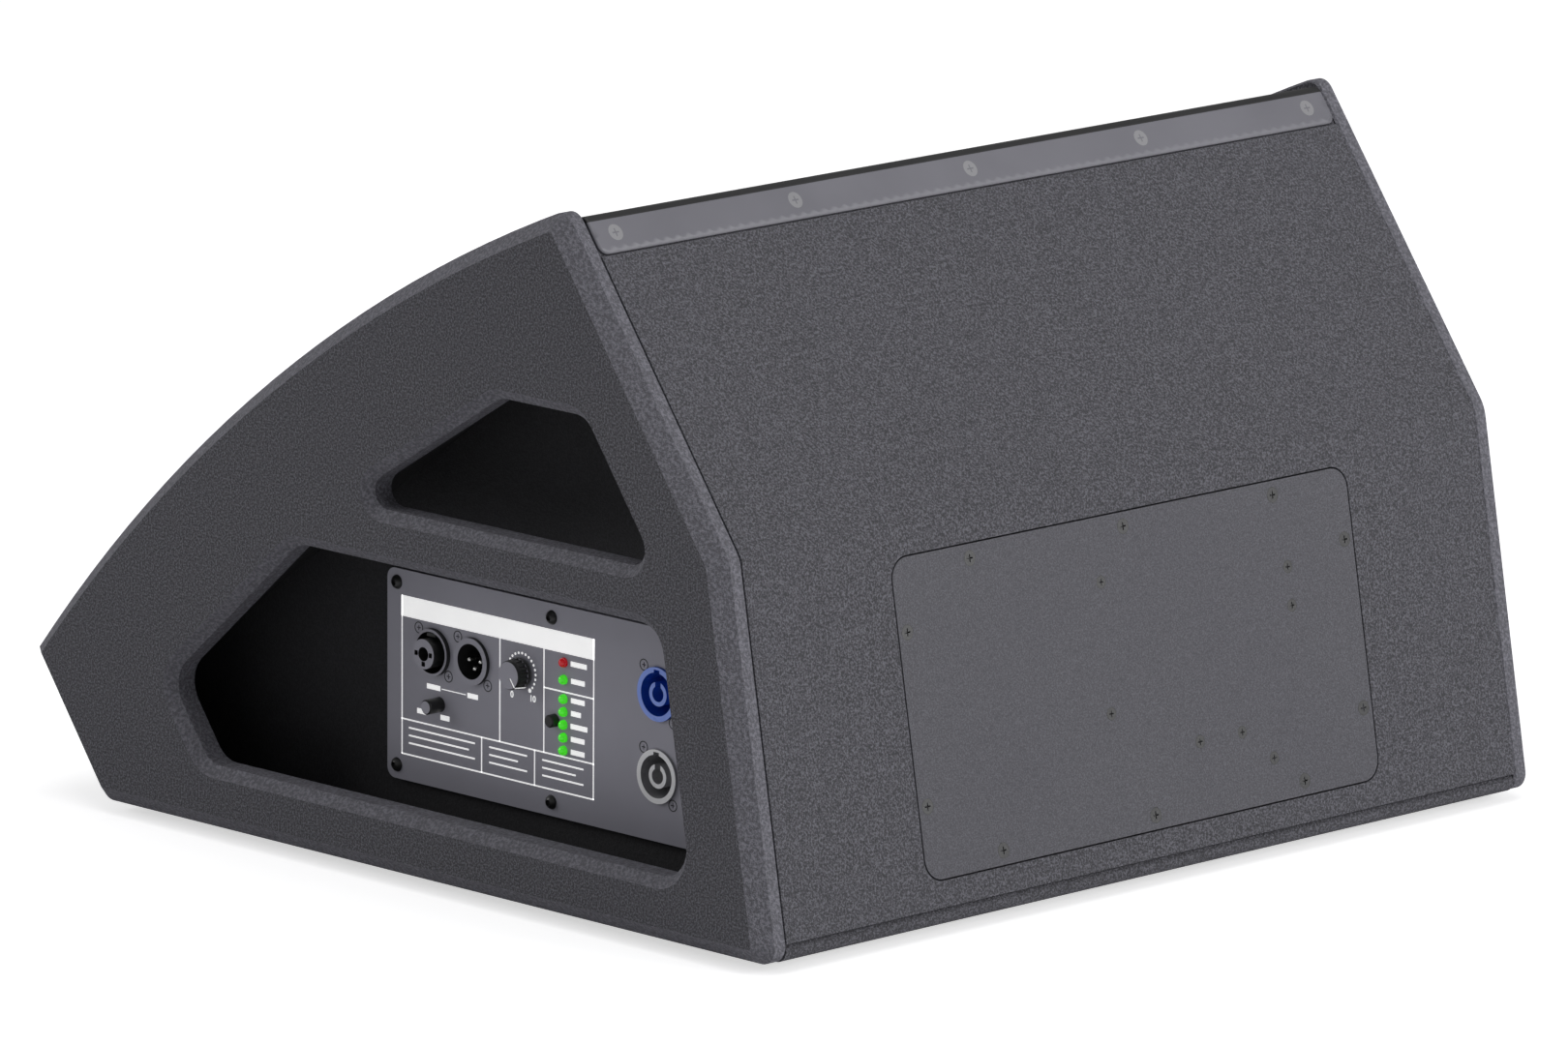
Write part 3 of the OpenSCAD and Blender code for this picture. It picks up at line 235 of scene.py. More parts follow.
# Fine even grain of a moulded or powder-coated surface
def makeGrainGroup():
    group, start, end = newGroup("fineGrain", [("Vector", "Vector"), ("Scale", "Float")], [("Height", "Float")])
    vector, scale = start.outputs["Vector"], start.outputs["Scale"]
    grain = rampNode(group, noiseNode(group, vector, scale, 1.5, 0.5), 0.35, 0.65)
    group.links.new(grain, end.inputs["Height"])
    return group


# Drawn lines of turned or brushed metal along one axis
def makeDrawnGroup():
    group, start, end = newGroup("drawnLines", [("Vector", "Vector"), ("Stretch", "Vector")], [("Lines", "Float")])
    stretch = group.nodes.new("ShaderNodeVectorMath")
    stretch.operation = "MULTIPLY"
    group.links.new(start.outputs["Vector"], stretch.inputs[0])
    group.links.new(start.outputs["Stretch"], stretch.inputs[1])
    lines = rampNode(group, noiseNode(group, stretch.outputs[0], 1.0, 3.0, 0.6), 0.3, 0.7)
    group.links.new(lines, end.inputs["Lines"])
    return group


sprayCoat = makeSprayGroup()
handling = makeHandlingGroup()
fineGrain = makeGrainGroup()
drawnLines = makeDrawnGroup()


class Finish:
    def __init__(self, name, metallic=0.0, **fixed):
        self.mat = bpy.data.materials.new(name)
        self.mat.use_nodes = True
        self.tree = self.mat.node_tree
        self.shader = self.tree.nodes["Principled BSDF"]
        self.coords = self.tree.nodes.new("ShaderNodeTexCoord").outputs["Object"]
        self.shader.inputs["Metallic"].default_value = metallic
        for socket, value in fixed.items():
            self.shader.inputs[socket].default_value = value

    def group(self, group, **values):
        node = self.tree.nodes.new("ShaderNodeGroup")
        node.node_tree = group
        self.tree.links.new(self.coords, node.inputs["Vector"])
        for socket, value in values.items():
            node.inputs[socket].default_value = value
        return node

    def mix(self, fac, dark, light):
        node = self.tree.nodes.new("ShaderNodeMix")
        node.data_type = "RGBA"
        self.tree.links.new(fac, node.inputs["Factor"])
        for socket, value in ((6, dark), (7, light)):
            if isinstance(value, (tuple, list)):
                node.inputs[socket].default_value = (*value, 1)
            else:
                self.tree.links.new(value, node.inputs[socket])
        return node.outputs[2]

    def feed(self, socket, output):
        self.tree.links.new(output, self.shader.inputs[socket])

    def bump(self, height, strength, depth):
        node = self.tree.nodes.new("ShaderNodeBump")
        node.inputs["Strength"].default_value = strength
        node.inputs["Distance"].default_value = depth
        self.tree.links.new(height, node.inputs["Height"])
        self.tree.links.new(node.outputs[0], self.shader.inputs["Normal"])


def grey(value, cool=0.0):
    return (value * (1 - cool), value * (1 - cool * 1.2), value * (1 + cool))


def sprayedPaint(name, tone, contrast, blob, depth, strength, rough):
    f = Finish(name)
    coat = f.group(sprayCoat, **{"Blob Scale": blob})
    wear = f.group(handling, Scale=9.0)
    base = f.mix(coat.outputs["Speckle"], grey(tone * (1 - contrast), 0.07), grey(tone * (1 + contrast), 0.07))
    worn = rampNode(f.tree, wear.outputs["Tone"], 0, 1, 0.0, 0.10)
    f.feed("Base Color", f.mix(worn, base, grey(tone * 1.5, 0.07)))
    f.feed("Roughness", rampNode(f.tree, wear.outputs["Tone"], 0, 1, rough, rough + 0.12))
    f.bump(coat.outputs["Height"], strength, depth)
    return f.mat


def coatedMetal(name, tone, rough, cool=0.03, scale=2600.0, strength=0.15, metallic=0.0):
    f = Finish(name, metallic)
    grain = f.group(fineGrain, Scale=scale)
    wear = f.group(handling, Scale=14.0)
    f.feed("Base Color", f.mix(wear.outputs["Tone"], grey(tone * 0.94, cool), grey(tone * 1.06, cool)))
    f.feed("Roughness", rampNode(f.tree, wear.outputs["Tone"], 0, 1, rough - 0.04, rough + 0.06))
    f.bump(grain.outputs["Height"], strength, 0.0001)
    return f.mat


def moulded(name, colour, rough, strength=0.12, scale=3200.0, **fixed):
    f = Finish(name, **fixed)
    grain = f.group(fineGrain, Scale=scale)
    wear = f.group(handling, Scale=40.0)
    dark, light = tuple(c * 0.9 for c in colour), tuple(min(c * 1.1, 1) for c in colour)
    f.feed("Base Color", f.mix(wear.outputs["Tone"], dark, light))
    f.feed("Roughness", rampNode(f.tree, wear.outputs["Tone"], 0, 1, rough - 0.04, rough + 0.06))
    f.bump(grain.outputs["Height"], strength, 0.00006)
    return f.mat


def turnedMetal(name, colour, rough, stretch=(900.0, 60.0, 900.0)):
    f = Finish(name, 1.0)
    lines = f.group(drawnLines, Stretch=stretch)
    f.feed("Base Color", f.mix(lines.outputs["Lines"], tuple(c * 0.85 for c in colour), colour))
    f.feed("Roughness", rampNode(f.tree, lines.outputs["Lines"], 0, 1, rough, rough + 0.15))
    f.bump(lines.outputs["Lines"], 0.08, 0.0001)
    return f.mat


def litLens(name, colour, glow):
    f = Finish(name, **{"Roughness": 0.18, "Coat Weight": 0.6, "Coat Roughness": 0.08, "Emission Strength": glow})
    wear = f.group(handling, Scale=300.0)
    f.feed("Base Color", f.mix(wear.outputs["Tone"], tuple(c * 0.85 for c in colour), colour))
    f.feed("Emission Color", f.mix(wear.outputs["Tone"], tuple(c * 0.8 for c in colour), colour))
    return f.mat


def bareWood(name):
    f = Finish(name)
    rings = f.group(drawnLines, Stretch=(8.0, 160.0, 160.0))
    f.feed("Base Color", f.mix(rings.outputs["Lines"], (0.42, 0.26, 0.13), (0.62, 0.44, 0.26)))
    f.feed("Roughness", rampNode(f.tree, rings.outputs["Lines"], 0, 1, 0.55, 0.7))
    f.bump(rings.outputs["Lines"], 0.2, 0.0002)
    return f.mat


def fibre(name, dark, light, scale):
    f = Finish(name, **{"Sheen Weight": 0.3, "Roughness": 0.9})
    felt = f.group(sprayCoat, **{"Blob Scale": scale})
    f.feed("Base Color", f.mix(felt.outputs["Speckle"], dark, light))
    f.bump(felt.outputs["Height"], 0.8, 0.0008)
    return f.mat


finishes = {
    "textured_paint": sprayedPaint("texturedPaint", 0.098, 0.6, 1000.0, 0.0008, 0.75, 0.72),
    "baffle_black": sprayedPaint("bafflePaint", 0.012, 0.3, 700.0, 0.0003, 0.4, 0.8),
    "pine": bareWood("pineBatten"),
    "grille_coat": coatedMetal("grilleCoat", 0.165, 0.42, 0.06, 3000.0, 0.08),
    "foam": fibre("acousticFoam", (0.006, 0.006, 0.007), (0.02, 0.02, 0.022), 900.0),
    "wadding": fibre("fibreLining", (0.5, 0.5, 0.47), (0.75, 0.75, 0.71), 260.0),
    "zinc": turnedMetal("zincScrews", (0.5, 0.5, 0.52), 0.34),
    "black_steel": coatedMetal("blackSteel", 0.022, 0.36, 0.02, 4000.0, 0.1),
    "black_plastic": moulded("blackPlastic", (0.018, 0.018, 0.019), 0.42),
    "soft_black": moulded("softBlack", (0.02, 0.02, 0.021), 0.75, 0.3),
    "cast_frame": coatedMetal("castFrame", 0.03, 0.5, 0.02, 900.0, 0.3),
    "paper_cone": moulded("paperCone", (0.028, 0.028, 0.03), 0.7, 0.5, 900.0),
    "spider_cloth": fibre("spiderCloth", (0.36, 0.2, 0.06), (0.52, 0.32, 0.1), 1500.0),
    "copper": turnedMetal("copperCoil", (0.6, 0.28, 0.12), 0.3, (60.0, 60.0, 4000.0)),
    "plated_iron": turnedMetal("platedIron", (0.5, 0.51, 0.53), 0.3),
    "ferrite": moulded("ferriteRing", (0.05, 0.05, 0.053), 0.55, 0.4, 700.0),
    "plate_paint": sprayedPaint("platePaint", 0.09, 0.3, 1300.0, 0.0004, 0.45, 0.66),
    "panel_grey": coatedMetal("panelGrey", 0.36, 0.5, 0.07, 3000.0, 0.1),
    "circuit_green": moulded("circuitGreen", (0.015, 0.12, 0.04), 0.35, 0.05),
    "brass_parts": turnedMetal("brassParts", (0.65, 0.48, 0.2), 0.28),
    "heat_aluminium": turnedMetal("heatAluminium", (0.66, 0.67, 0.69), 0.35),
    "coil_tape": moulded("coilTape", (0.5, 0.34, 0.04), 0.4),
    "capacitor_sleeve": moulded("capacitorSleeve", (0.01, 0.02, 0.09), 0.25),
    "inlet_blue": moulded("inletBlue", (0.02, 0.1, 0.6), 0.24, 0.04, 3000.0),
    "outlet_grey": moulded("outletGrey", (0.36, 0.36, 0.38), 0.28, 0.04, 3000.0),
    "silver_contacts": turnedMetal("silverContacts", (0.85, 0.85, 0.83), 0.15),
    "lens_red": litLens("clipLens", (0.6, 0.004, 0.012), 0.3),
    "lens_green": litLens("readyLens", (0.06, 0.75, 0.02), 0.6),
    "cable_black": moulded("cableJacket", (0.018, 0.018, 0.02), 0.5),
}
# Coarser, lighter copy of the textured paint for the cheek edges: its lighter tone is painted highlight
edgeCoatPaintedHighlight = sprayedPaint("edgeCoatPaintedHighlight", 0.145, 0.34, 700.0, 0.0008, 0.7, 0.72)
# Near-black copy of the paint: painted shade inside the pockets
pocketPaintedShade = sprayedPaint("pocketPaintedShade", 0.02, 0.3, 1000.0, 0.0005, 0.5, 0.75)
# White print ink with a little emission: a painted glow that brightens the print in the shaded pocket
inkWithPaintedGlow = moulded("inkWithPaintedGlow", (0.88, 0.88, 0.88), 0.5, 0.02,
                   **{"Emission Color": (1, 1, 1, 1), "Emission Strength": 0.5})
# Near-black copy of the grille coat: painted shade on the bow and its bends
grillePaintedShade = coatedMetal("grillePaintedShade", 0.02, 0.45, 0.02, 3000.0, 0.08)
greyScrews = coatedMetal("greyScrews", 0.26, 0.4, 0.02, 4000.0, 0.06)
# Paler copies of the inlet blue and the outlet grey for the out-facing faces: painted highlight
inletFrontPaintedHighlight = moulded("inletFrontPaintedHighlight", (0.24, 0.36, 0.92), 0.3, 0.04, 3000.0)
outletFrontPaintedHighlight = moulded("outletFrontPaintedHighlight", (0.82, 0.82, 0.84), 0.3, 0.04, 3000.0)
slotOf = {s["node"]: s["material_slot"] for s in frame["record"]["subparts"]}
print("finishes made:", len(finishes) + 7)


def dress(ob, slotName):
    ob.data.materials.clear()
    ob.data.materials.append(finishes[slotName])


for name, ob in nodes.items():
    dress(ob, slotOf[name])

bodyOf = {n: b for b, members in frame["record"]["behaviour"]["bodies"].items() for n in members}


def finishPiece(name, bm, body, slotName, material=None):
    mesh = bpy.data.meshes.new(name)
    bm.to_mesh(mesh)
    bm.free()
    ob = bpy.data.objects.new(name, mesh)
    bpy.context.scene.collection.objects.link(ob)
    ob.data.materials.append(material or finishes[slotName])
    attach(ob, body)
    return ob


# A smooth copy of a CAD node: doubles merged, edges eased, rounds shaded as rounds
def easedCopy(node, ease=0.0, steps=2, crease=35.0, material=None):
    bm = bmesh.new()
    bm.from_mesh(nodes[node].data)
    bmesh.ops.remove_doubles(bm, verts=bm.verts, dist=0.00001)
    bmesh.ops.dissolve_limit(bm, angle_limit=math.radians(0.5), verts=bm.verts, edges=bm.edges)
    if ease:
        sharp = [e for e in bm.edges if len(e.link_faces) == 2 and e.calc_face_angle(0) > math.radians(crease)]
        bmesh.ops.bevel(bm, geom=sharp, offset=ease, offset_type="OFFSET", affect="EDGES", segments=steps,
                        profile=0.5, material=-1, clamp_overlap=True)
    for f in bm.faces:
        f.smooth = True
    for e in bm.edges:
        if len(e.link_faces) == 2 and e.calc_face_angle(0) > math.radians(crease):
            e.smooth = False
    piece = finishPiece(node + "_eased", bm, bodyOf[node], slotOf[node], material)
    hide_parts(node)
    if ease:
        piece.modifiers.new("evenShading", "WEIGHTED_NORMAL").keep_sharp = True
    return piece


easedNodes = ("volume_knob", "preset_button", "level_button", "socket_latch", "clip_light", "green_lights",
              "input_socket", "link_socket", "link_pins", "mains_inlet", "mains_outlet", "connector_plate_screws",
              "rubber_feet", "port_tubes", "woofer_cone", "woofer_frame", "horn")
eased = {node: easedCopy(node) for node in easedNodes}

# Faces that look out of the pocket are paler than the sides and wells: partly the parts' own paler fronts, partly
# painted sheen where these faces catch the light
fronts = {"beyond": 0.2002, "facing": 0.97}
frontCoatsAndPaintedSheen = {"volume_knob": finishes["panel_grey"], "level_button": finishes["panel_grey"],
              "input_socket": finishes["panel_grey"], "link_socket": finishes["panel_grey"],
              "mains_inlet": inletFrontPaintedHighlight, "mains_outlet": outletFrontPaintedHighlight}
for node, coat in frontCoatsAndPaintedSheen.items():
    front = eased[node].data
    front.materials.append(coat)
    for p in front.polygons:
        if p.normal.x > fronts["facing"] and p.center.x > fronts["beyond"]:
            p.material_index = 1


def looseParts(bm):
    left = set(bm.verts)
    while left:
        part, edge = set(), [left.pop()]
        while edge:
            v = edge.pop()
            part.add(v)
            near = [e.other_vert(v) for e in v.link_edges if e.other_vert(v) in left]
            left.difference_update(near)
            edge.extend(near)
        yield part


# Screws: the coat shows on the head's flat face, and the cross recess gets black steel as painted shade
def markRecessShade(node, coat, skin=0.00008):
    mesh = easedCopy(node).data
    mesh.materials[0] = coat
    mesh.materials.append(finishes["black_steel"])
    bm = bmesh.new()
    bm.from_mesh(mesh)
    heads = []
    for part in looseParts(bm):
        faces = {f for v in part for f in v.link_faces}
        out = max(faces, key=lambda f: f.calc_area()).normal.copy()
        top = max(v.co.dot(out) for v in part)
        for f in faces:
            below = f.calc_center_median().dot(out) < top - skin
            f.material_index = 1 if below and f.normal.dot(out) > -0.5 else 0
        heads.append(sum((v.co for v in part), Vector()) / len(part))
    bm.to_mesh(mesh)
    bm.free()
    return heads


markRecessShade("grille_screws", greyScrews)
socketHeads = markRecessShade("socket_screws", finishes["panel_grey"])

# Cheeks: eased chamfers with the coarser coat that builds up on edges, in a lighter tone that is painted highlight
# where the chamfers catch the light
cheek = {"ease": 0.0009, "steps": 2}
for node in ("cheek_right", "cheek_left"):
    piece = easedCopy(node, cheek["ease"], cheek["steps"], 20.0)
    piece.data.materials.append(edgeCoatPaintedHighlight)
    for p in piece.data.polygons:
        p.material_index = 0 if abs(p.normal.x) > 0.97 else 1
easedCopy("rear_plate", 0.0004, 2)
# The board's top is the floor of both pockets; it and the pocket walls get near-black paint as painted shade
floorBoard = easedCopy("bottom_board").data
floorBoard.materials.append(pocketPaintedShade)
for p in floorBoard.polygons:
    p.material_index = 1 if p.normal.z > 0.97 else 0
for node in ("pocket_wall_right", "pocket_wall_left"):
    nodes[node].data.materials[0] = pocketPaintedShade
print("eased copies made")

# The surround is a ring, cut into sectors, each along its own radius
surround = {"sectors": 16, "follows": 0.121, "flange": 0.006, "axis": (0.0, -0.587785, 0.809017)}


def makeSurround(k):
    source = nodes["woofer_surround"].data
    axis = Vector(k["axis"])
    right = Vector((1, 0, 0))
    up = axis.cross(right)
    flat = [(v.co.dot(right), v.co.dot(up), v.co.dot(axis)) for v in source.vertices]
    mid = [(min(c) + max(c)) / 2 for c in zip(*flat)]
    centre = right * mid[0] + up * mid[1] + axis * mid[2]
    half = math.pi / k["sectors"]
    for i in range(k["sectors"]):
        t = 2 * half * i
        bm = bmesh.new()
        bm.from_mesh(source)
        bmesh.ops.remove_doubles(bm, verts=bm.verts, dist=0.00001)
        for side in (-1, 1):
            cut = right * math.cos(t + side * half) + up * math.sin(t + side * half)
            bmesh.ops.bisect_plane(bm, geom=bm.verts[:] + bm.edges[:] + bm.faces[:], dist=0.000001,
                                   plane_co=centre, plane_no=axis.cross(cut) * side, clear_outer=True)
        for f in bm.faces:
            f.smooth = True
        mesh = bpy.data.meshes.new("surroundSector")
        bm.to_mesh(mesh)
        bm.free()
        piece = bpy.data.objects.new("surroundSector%02d" % i, mesh)
        bpy.context.scene.collection.objects.link(piece)
        piece.data.materials.append(finishes[slotOf["woofer_surround"]])
        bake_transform(piece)
        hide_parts("woofer_surround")


makeSurround(surround)

# Local frames of the cabinet: x across, y along the face, z out of it
cabinet = {
    "apex": (0.0, 0.11012, 0.32743),
    "tilt": 36.0,
    "faceLength": 0.438,
    "bowRadius": 0.876,
    "bowChordRadius": 0.880,
}


def onFace(x, y, z):
    tilt = math.radians(cabinet["tilt"])
    up = Vector((0, math.cos(tilt), math.sin(tilt)))
    out = Vector((0, -math.sin(tilt), math.cos(tilt)))
    return Vector(cabinet["apex"]) + Vector((x, 0, 0)) + up * y + out * z


# Perforated grille: one sheet of honeycomb holes, bent over the back and the nose
grilleSheet = {
    "sheet": 0.0015,
    "bend": 0.0045,
    "pitch": 0.0066,
    "bar": 0.0007,
    "margin": 0.011,
    "flange": 0.024,
    "corner": 0.0045,
    "sideGap": 0.0002,
    "bendSteps": 8,
}


# Copies every face along a row, step by step
def repeatFaces(bm, steps, step):
    bmesh.ops.spin(bm, geom=bm.faces[:], angle=0, steps=steps, dvec=step, use_duplicate=True,
                   axis=(0, 0, 1), cent=(0, 0, 0))


def onlyVerts(geom):
    return [v for v in geom if isinstance(v, bmesh.types.BMVert)]


def makeGrille(g):
    low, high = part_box("grille")
    half = high.x - g["sideGap"]
    face = cabinet["faceLength"]
    radius = cabinet["bowRadius"]
    drop = math.sqrt(cabinet["bowChordRadius"] ** 2 - (face / 2) ** 2)
    edge = math.sqrt(radius ** 2 - (face / 2) ** 2) - drop

    # The bow's arc meets each flange on a bend of its own radius
    inset = g["bend"]
    middle = -face / 2
    reach = face / 2 - inset
    rest = radius - inset
    lean = math.asin(reach / rest)
    bowLength = 2 * radius * lean
    quarter = math.pi / 2 - lean
    bendLength = inset * quarter
    centreZ = rest * math.cos(lean) - drop
    leg = g["flange"] + centreZ
    total = bowLength + 2 * bendLength + 2 * leg

    pitch = g["pitch"]
    rowStep = pitch * math.sqrt(3) / 2
    bm = bmesh.new()
    bmesh.ops.create_circle(bm, cap_ends=True, segments=6, radius=pitch / math.sqrt(3))
    columns = int(2 * half / pitch) + 3
    rows = int(total / (2 * rowStep)) + 3
    bmesh.ops.translate(bm, verts=bm.verts, vec=(-columns / 2 * pitch, -rows * rowStep, 0))
    repeatFaces(bm, columns, (pitch, 0, 0))
    copied = bmesh.ops.duplicate(bm, geom=bm.verts[:] + bm.edges[:] + bm.faces[:])["geom"]
    bmesh.ops.translate(bm, verts=onlyVerts(copied), vec=(pitch / 2, rowStep, 0))
    repeatFaces(bm, rows, (0, 2 * rowStep, 0))
    bmesh.ops.remove_doubles(bm, verts=bm.verts, dist=0.0002)

    # Holes only in the bowed field, then the sheet is cut to its outline
    fieldX, fieldY = half - g["margin"], bowLength / 2 - g["margin"]
    middles = [(f, f.calc_center_median()) for f in bm.faces]
    field = [f for f, at in middles if abs(at.x) < fieldX and abs(at.y) < fieldY]
    bmesh.ops.inset_individual(bm, faces=field, thickness=g["bar"])
    bmesh.ops.delete(bm, geom=field, context="FACES")
    for axis, far in ((Vector((1, 0, 0)), half), (Vector((0, 1, 0)), total / 2)):
        for side in (-1, 1):
            bmesh.ops.bisect_plane(bm, geom=bm.verts[:] + bm.edges[:] + bm.faces[:], dist=0.000001,
                                   plane_co=axis * far * side, plane_no=axis * side, clear_outer=True)
    bendSteps = g["bendSteps"]
    for side in (-1, 1):
        for i in range(bendSteps + 1):
            at = side * (bowLength / 2 + bendLength * i / bendSteps)
            bmesh.ops.bisect_plane(bm, geom=bm.verts[:] + bm.edges[:] + bm.faces[:], dist=0.000001,
                                   plane_co=(0, at, 0), plane_no=(0, 1, 0))
    # Lower corners of both flanges are rounded
    cornerR = g["corner"]
    for sx in (-1, 1):
        for sy in (-1, 1):
            centre = Vector((sx * (half - cornerR), sy * (total / 2 - cornerR), 0))
            for i in range(4):
                t = math.radians(11.25 + 22.5 * i)
                away = Vector((sx * math.cos(t), sy * math.sin(t), 0))
                bmesh.ops.bisect_plane(bm, geom=bm.verts[:] + bm.edges[:] + bm.faces[:], dist=0.000001,
                                       plane_co=centre + away * cornerR, plane_no=away, clear_outer=True)

    # The flanges keep the grey coat, and the bow and its bends get a near-black copy of it as painted shade
    for f in bm.faces:
        f.material_index = 1 if abs(f.calc_center_median().y) < bowLength / 2 + bendLength else 0
    for v in bm.verts:
        x, s = v.co.x, v.co.y
        side = 1 if s > 0 else -1
        d = abs(s)
        if d <= bowLength / 2:
            turn = s / radius
            y, z = radius * math.sin(turn), radius * math.cos(turn) - drop
        elif d <= bowLength / 2 + bendLength:
            turn = lean + (d - bowLength / 2) / inset
            y, z = side * (reach + inset * math.sin(turn)), centreZ + inset * math.cos(turn)
        else:
            y, z = side * face / 2, centreZ - (d - bowLength / 2 - bendLength)
        v.co = onFace(x, y + middle, z)
    bmesh.ops.recalc_face_normals(bm, faces=bm.faces)
    outward = onFace(0, middle, 1) - onFace(0, middle, 0)
    top = max(bm.faces, key=lambda f: f.calc_center_median().z)
    if top.normal.dot(outward) < 0:
        bmesh.ops.reverse_faces(bm, faces=bm.faces)
    for f in bm.faces:
        f.smooth = True
    piece = finishPiece("grilleSheet", bm, bodyOf["grille"], "grille_coat")
    piece.data.materials.append(grillePaintedShade)
    shell = piece.modifiers.new("sheetThickness", "SOLIDIFY")
    shell.thickness = g["sheet"]
    shell.offset = -1
    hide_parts("grille")
    return piece


makeGrille(grilleSheet)
print("grille made")

# White print on the connector plate, in metres from the plate's lower front corner
plateCorner = {"x": 0.2, "y": -0.05724, "z": 0.0325, "lift": 0.00006, "ink": 0.00005}
printed = {
    "frame": (0.0099, 0.0124, 0.1365, 0.0870),
    "line": 0.0007,
    "bandLow": 0.0772,
    "rowLine": 0.0289,
    "columns": (0.075, 0.104),
    "lowColumns": (0.063, 0.098),
    "sideLine": 0.0592,
    "dial": (0.0893, 0.0635),
    "dots": 20,
    "dotRing": 0.0092,
    "dotFrom": 216.0,
    "dotTo": -54.0,
    "dotSize": 0.0012,
    "lastDotSize": 0.002,
    "labelHeight": 0.0024,
    "labels": (
        (0.031, 0.047, 0.009), (0.057, 0.047, 0.007),
        (0.023, 0.0343, 0.006), (0.0386, 0.0337, 0.006),
        (0.1267, 0.073, 0.0105), (0.1262, 0.065, 0.009), (0.1262, 0.056, 0.009), (0.125, 0.050, 0.0065),
        (0.1270, 0.044, 0.011), (0.1262, 0.038, 0.009), (0.1262, 0.032, 0.009),
    ),
}


def panelPoint(px, py, out):
    return Vector((plateCorner["x"] + out, plateCorner["y"] + px, plateCorner["z"] + py))


def inkBar(bm, x0, y0, x1, y1):
    made = bmesh.ops.create_cube(bm, size=1)["verts"]
    middle = panelPoint((x0 + x1) / 2, (y0 + y1) / 2, plateCorner["lift"])
    bmesh.ops.scale(bm, verts=made, vec=(plateCorner["ink"], x1 - x0, y1 - y0))
    bmesh.ops.translate(bm, verts=made, vec=middle)


def inkDot(bm, px, py, radius):
    turn = Matrix.Translation(panelPoint(px, py, plateCorner["lift"])) @ Matrix.Rotation(math.radians(90), 4, "Y")
    bmesh.ops.create_cone(bm, cap_ends=True, segments=16, radius1=radius, radius2=radius,
                          depth=plateCorner["ink"], matrix=turn)


def makePrint(p):
    bm = bmesh.new()
    x0, y0, x1, y1 = p["frame"]
    w = p["line"] / 2
    for y in (y0, p["rowLine"]):
        inkBar(bm, x0 - w, y - w, x1 + w, y + w)
    for x in (x0, x1):
        inkBar(bm, x - w, y0, x + w, y1)
    for x in p["columns"]:
        inkBar(bm, x - w, p["rowLine"], x + w, p["bandLow"])
    for x in p["lowColumns"]:
        inkBar(bm, x - w, y0, x + w, p["rowLine"])
    inkBar(bm, p["columns"][1], p["sideLine"] - w, x1, p["sideLine"] + w)
    inkBar(bm, x0 - w, p["bandLow"], x1 + w, y1)
    # Short bars stand where each socket, light and button is named
    for px, py, length in p["labels"]:
        inkBar(bm, px - length / 2, py - p["labelHeight"] / 2, px + length / 2, py + p["labelHeight"] / 2)
    inkBar(bm, 0.0365, 0.0468, 0.0525, 0.0472)
    dialX, dialY = p["dial"]
    last = p["dots"] - 1
    for i in range(p["dots"]):
        t = math.radians(p["dotFrom"] + (p["dotTo"] - p["dotFrom"]) * i / last)
        size = p["lastDotSize"] if i == last else p["dotSize"]
        inkDot(bm, dialX + p["dotRing"] * math.cos(t), dialY + p["dotRing"] * math.sin(t), size / 2)
    # Ruled fields in the lower row
    for row in range(3):
        inkBar(bm, 0.0145, 0.0248 - 0.0036 * row, 0.0585 - 0.004 * (row % 2), 0.0256 - 0.0036 * row)
        inkBar(bm, 0.068, 0.0248 - 0.0036 * row, 0.093 - 0.006 * (row % 2), 0.0256 - 0.0036 * row)
        inkBar(bm, 0.103, 0.0248 - 0.0036 * row, 0.130 - 0.005 * (row % 2), 0.0256 - 0.0036 * row)
    piece = finishPiece("panelPrint", bm, "cabinet", "panel_grey", inkWithPaintedGlow)
    return piece


makePrint(printed)

# Dark rings round the heads of the socket screws: painted shade at the edge of each head
headShadeRing = {"inner": 0.0023, "outer": 0.0028, "segments": 32}


def makeHeadShadeRings(k, heads):
    bm = bmesh.new()
    faceOut = Matrix.Rotation(math.radians(90), 4, "Y")
    for at in heads:
        middle = panelPoint(at.y - plateCorner["y"], at.z - plateCorner["z"], plateCorner["lift"])
        disc = bmesh.ops.create_circle(bm, cap_ends=True, segments=k["segments"], radius=k["outer"],
                                       matrix=Matrix.Translation(middle) @ faceOut)["verts"]
        face = disc[0].link_faces[0]
        bmesh.ops.inset_individual(bm, faces=[face], thickness=k["outer"] - k["inner"])
        rim = list({f for v in disc for f in v.link_faces})
        bmesh.ops.delete(bm, geom=[face], context="FACES_ONLY")
        raised = bmesh.ops.extrude_face_region(bm, geom=rim)["geom"]
        bmesh.ops.translate(bm, verts=onlyVerts(raised), vec=(plateCorner["ink"], 0, 0))
    bmesh.ops.recalc_face_normals(bm, faces=bm.faces)
    finishPiece("screwHeadShadeRings", bm, "cabinet", "black_plastic")


makeHeadShadeRings(headShadeRing, socketHeads)

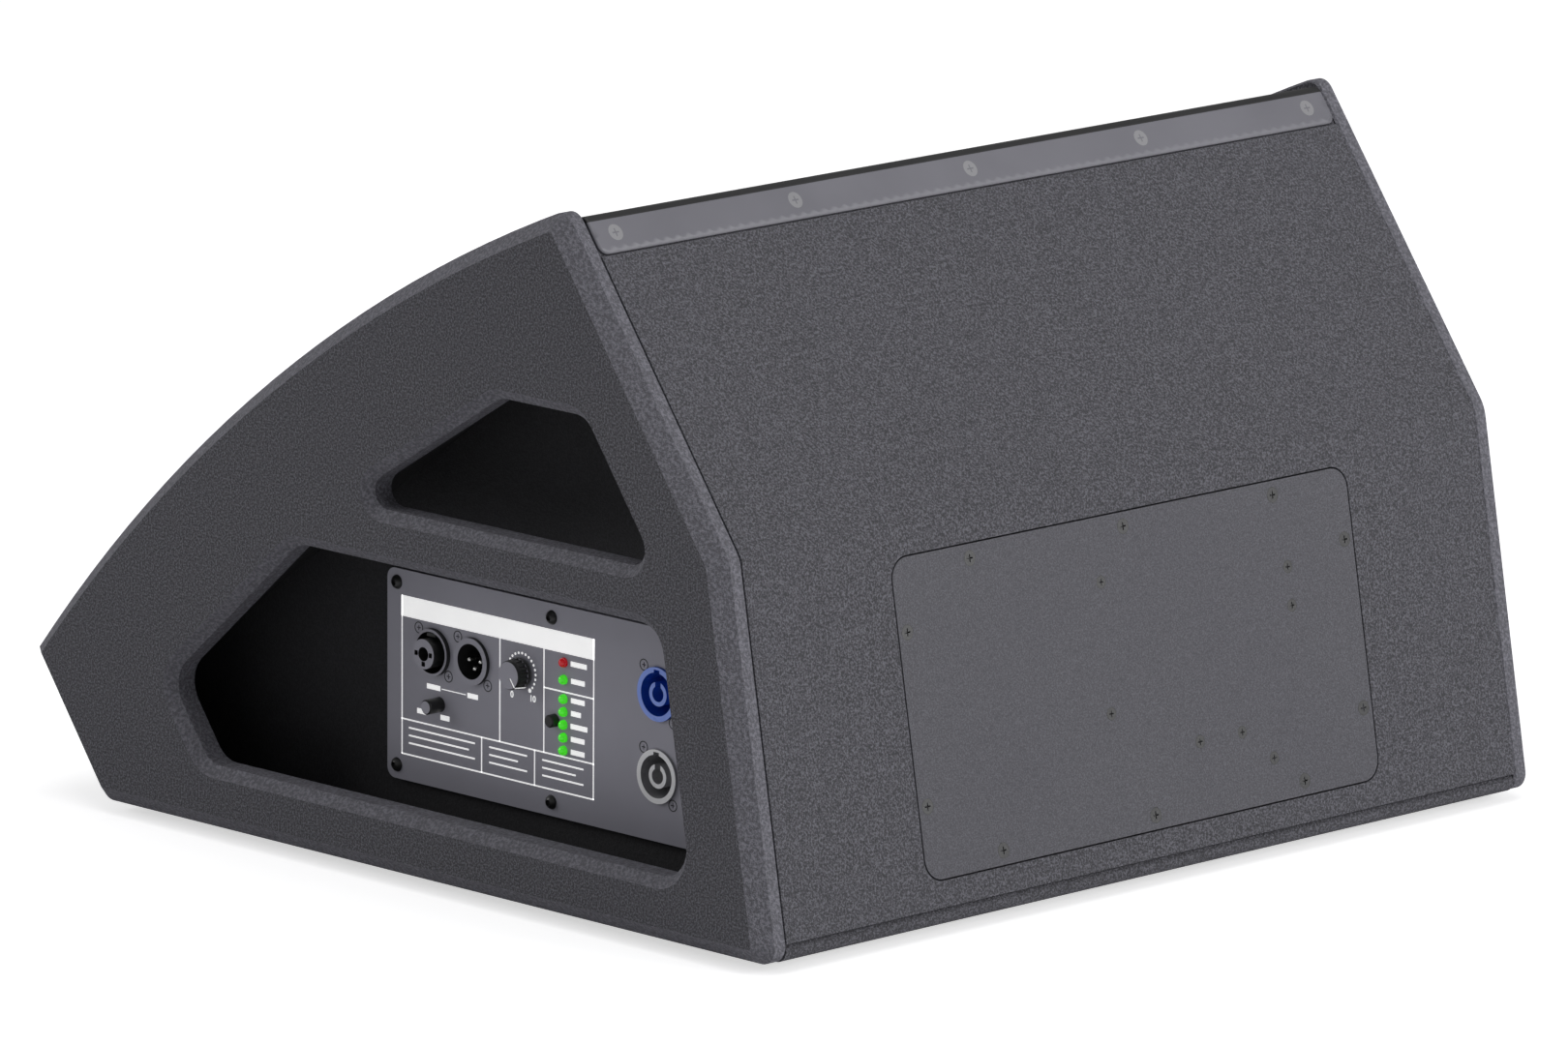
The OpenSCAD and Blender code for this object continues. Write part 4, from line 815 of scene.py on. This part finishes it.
# White line over the knob's face and down its side, turning with the knob
pointer = {
    "at": -54.0,
    "inner": 0.0015,
    "faceR": 0.0063,
    "shoulder": (0.0067, 0.008),
    "base": (0.0074, 0.0018),
    "floor": 0.0081,
    "width": 0.0009,
    "ink": 0.00012,
}


def makePointer(k, centre):
    bm = bmesh.new()
    t = math.radians(k["at"])
    along = Vector((0, math.cos(t), math.sin(t)))
    across = Vector((0, -math.sin(t), math.cos(t)))
    middle = panelPoint(*centre, 0)
    onFront = ((k["inner"], k["floor"]), (k["faceR"], k["floor"]))
    for (r0, out0), (r1, out1) in (onFront, (k["base"], k["shoulder"])):
        start = middle + along * r0 + Vector((out0, 0, 0))
        end = middle + along * r1 + Vector((out1, 0, 0))
        run = (end - start).normalized()
        made = bmesh.ops.create_cube(bm, size=1)["verts"]
        bmesh.ops.scale(bm, verts=made, vec=((end - start).length, k["width"], k["ink"]))
        turn = Matrix((run, across, run.cross(across))).transposed().to_4x4()
        bmesh.ops.transform(bm, matrix=Matrix.Translation((start + end) / 2) @ turn, verts=made)
    finishPiece("knobPointer", bm, bodyOf["volume_knob"], slotOf["volume_knob"], inkWithPaintedGlow)


makePointer(pointer, printed["dial"])


# Dial numbers under the volume knob
def makeDialNumber(text, px, py, size):
    curve = bpy.data.curves.new("dialNumber" + text, "FONT")
    curve.body = text
    curve.size = size
    curve.align_x = "CENTER"
    curve.align_y = "CENTER"
    curve.extrude = plateCorner["ink"] / 2
    curve.offset = size * 0.02
    made = bpy.data.objects.new("dialNumber" + text, curve)
    bpy.context.scene.collection.objects.link(made)
    bpy.context.view_layer.update()
    mesh = bpy.data.meshes.new_from_object(made)
    bpy.data.objects.remove(made)
    bm = bmesh.new()
    bm.from_mesh(mesh)
    stand = Matrix(((0, 0, 1, 0), (1, 0, 0, 0), (0, 1, 0, 0), (0, 0, 0, 1)))
    place = Matrix.Translation(panelPoint(px, py, plateCorner["lift"]))
    bmesh.ops.transform(bm, matrix=place @ stand, verts=bm.verts)
    finishPiece("dialNumber_" + text, bm, "cabinet", "panel_grey", inkWithPaintedGlow)


makeDialNumber("0", 0.0830, 0.0523, 0.0042)
makeDialNumber("10", 0.0966, 0.0524, 0.0042)
print("print made")
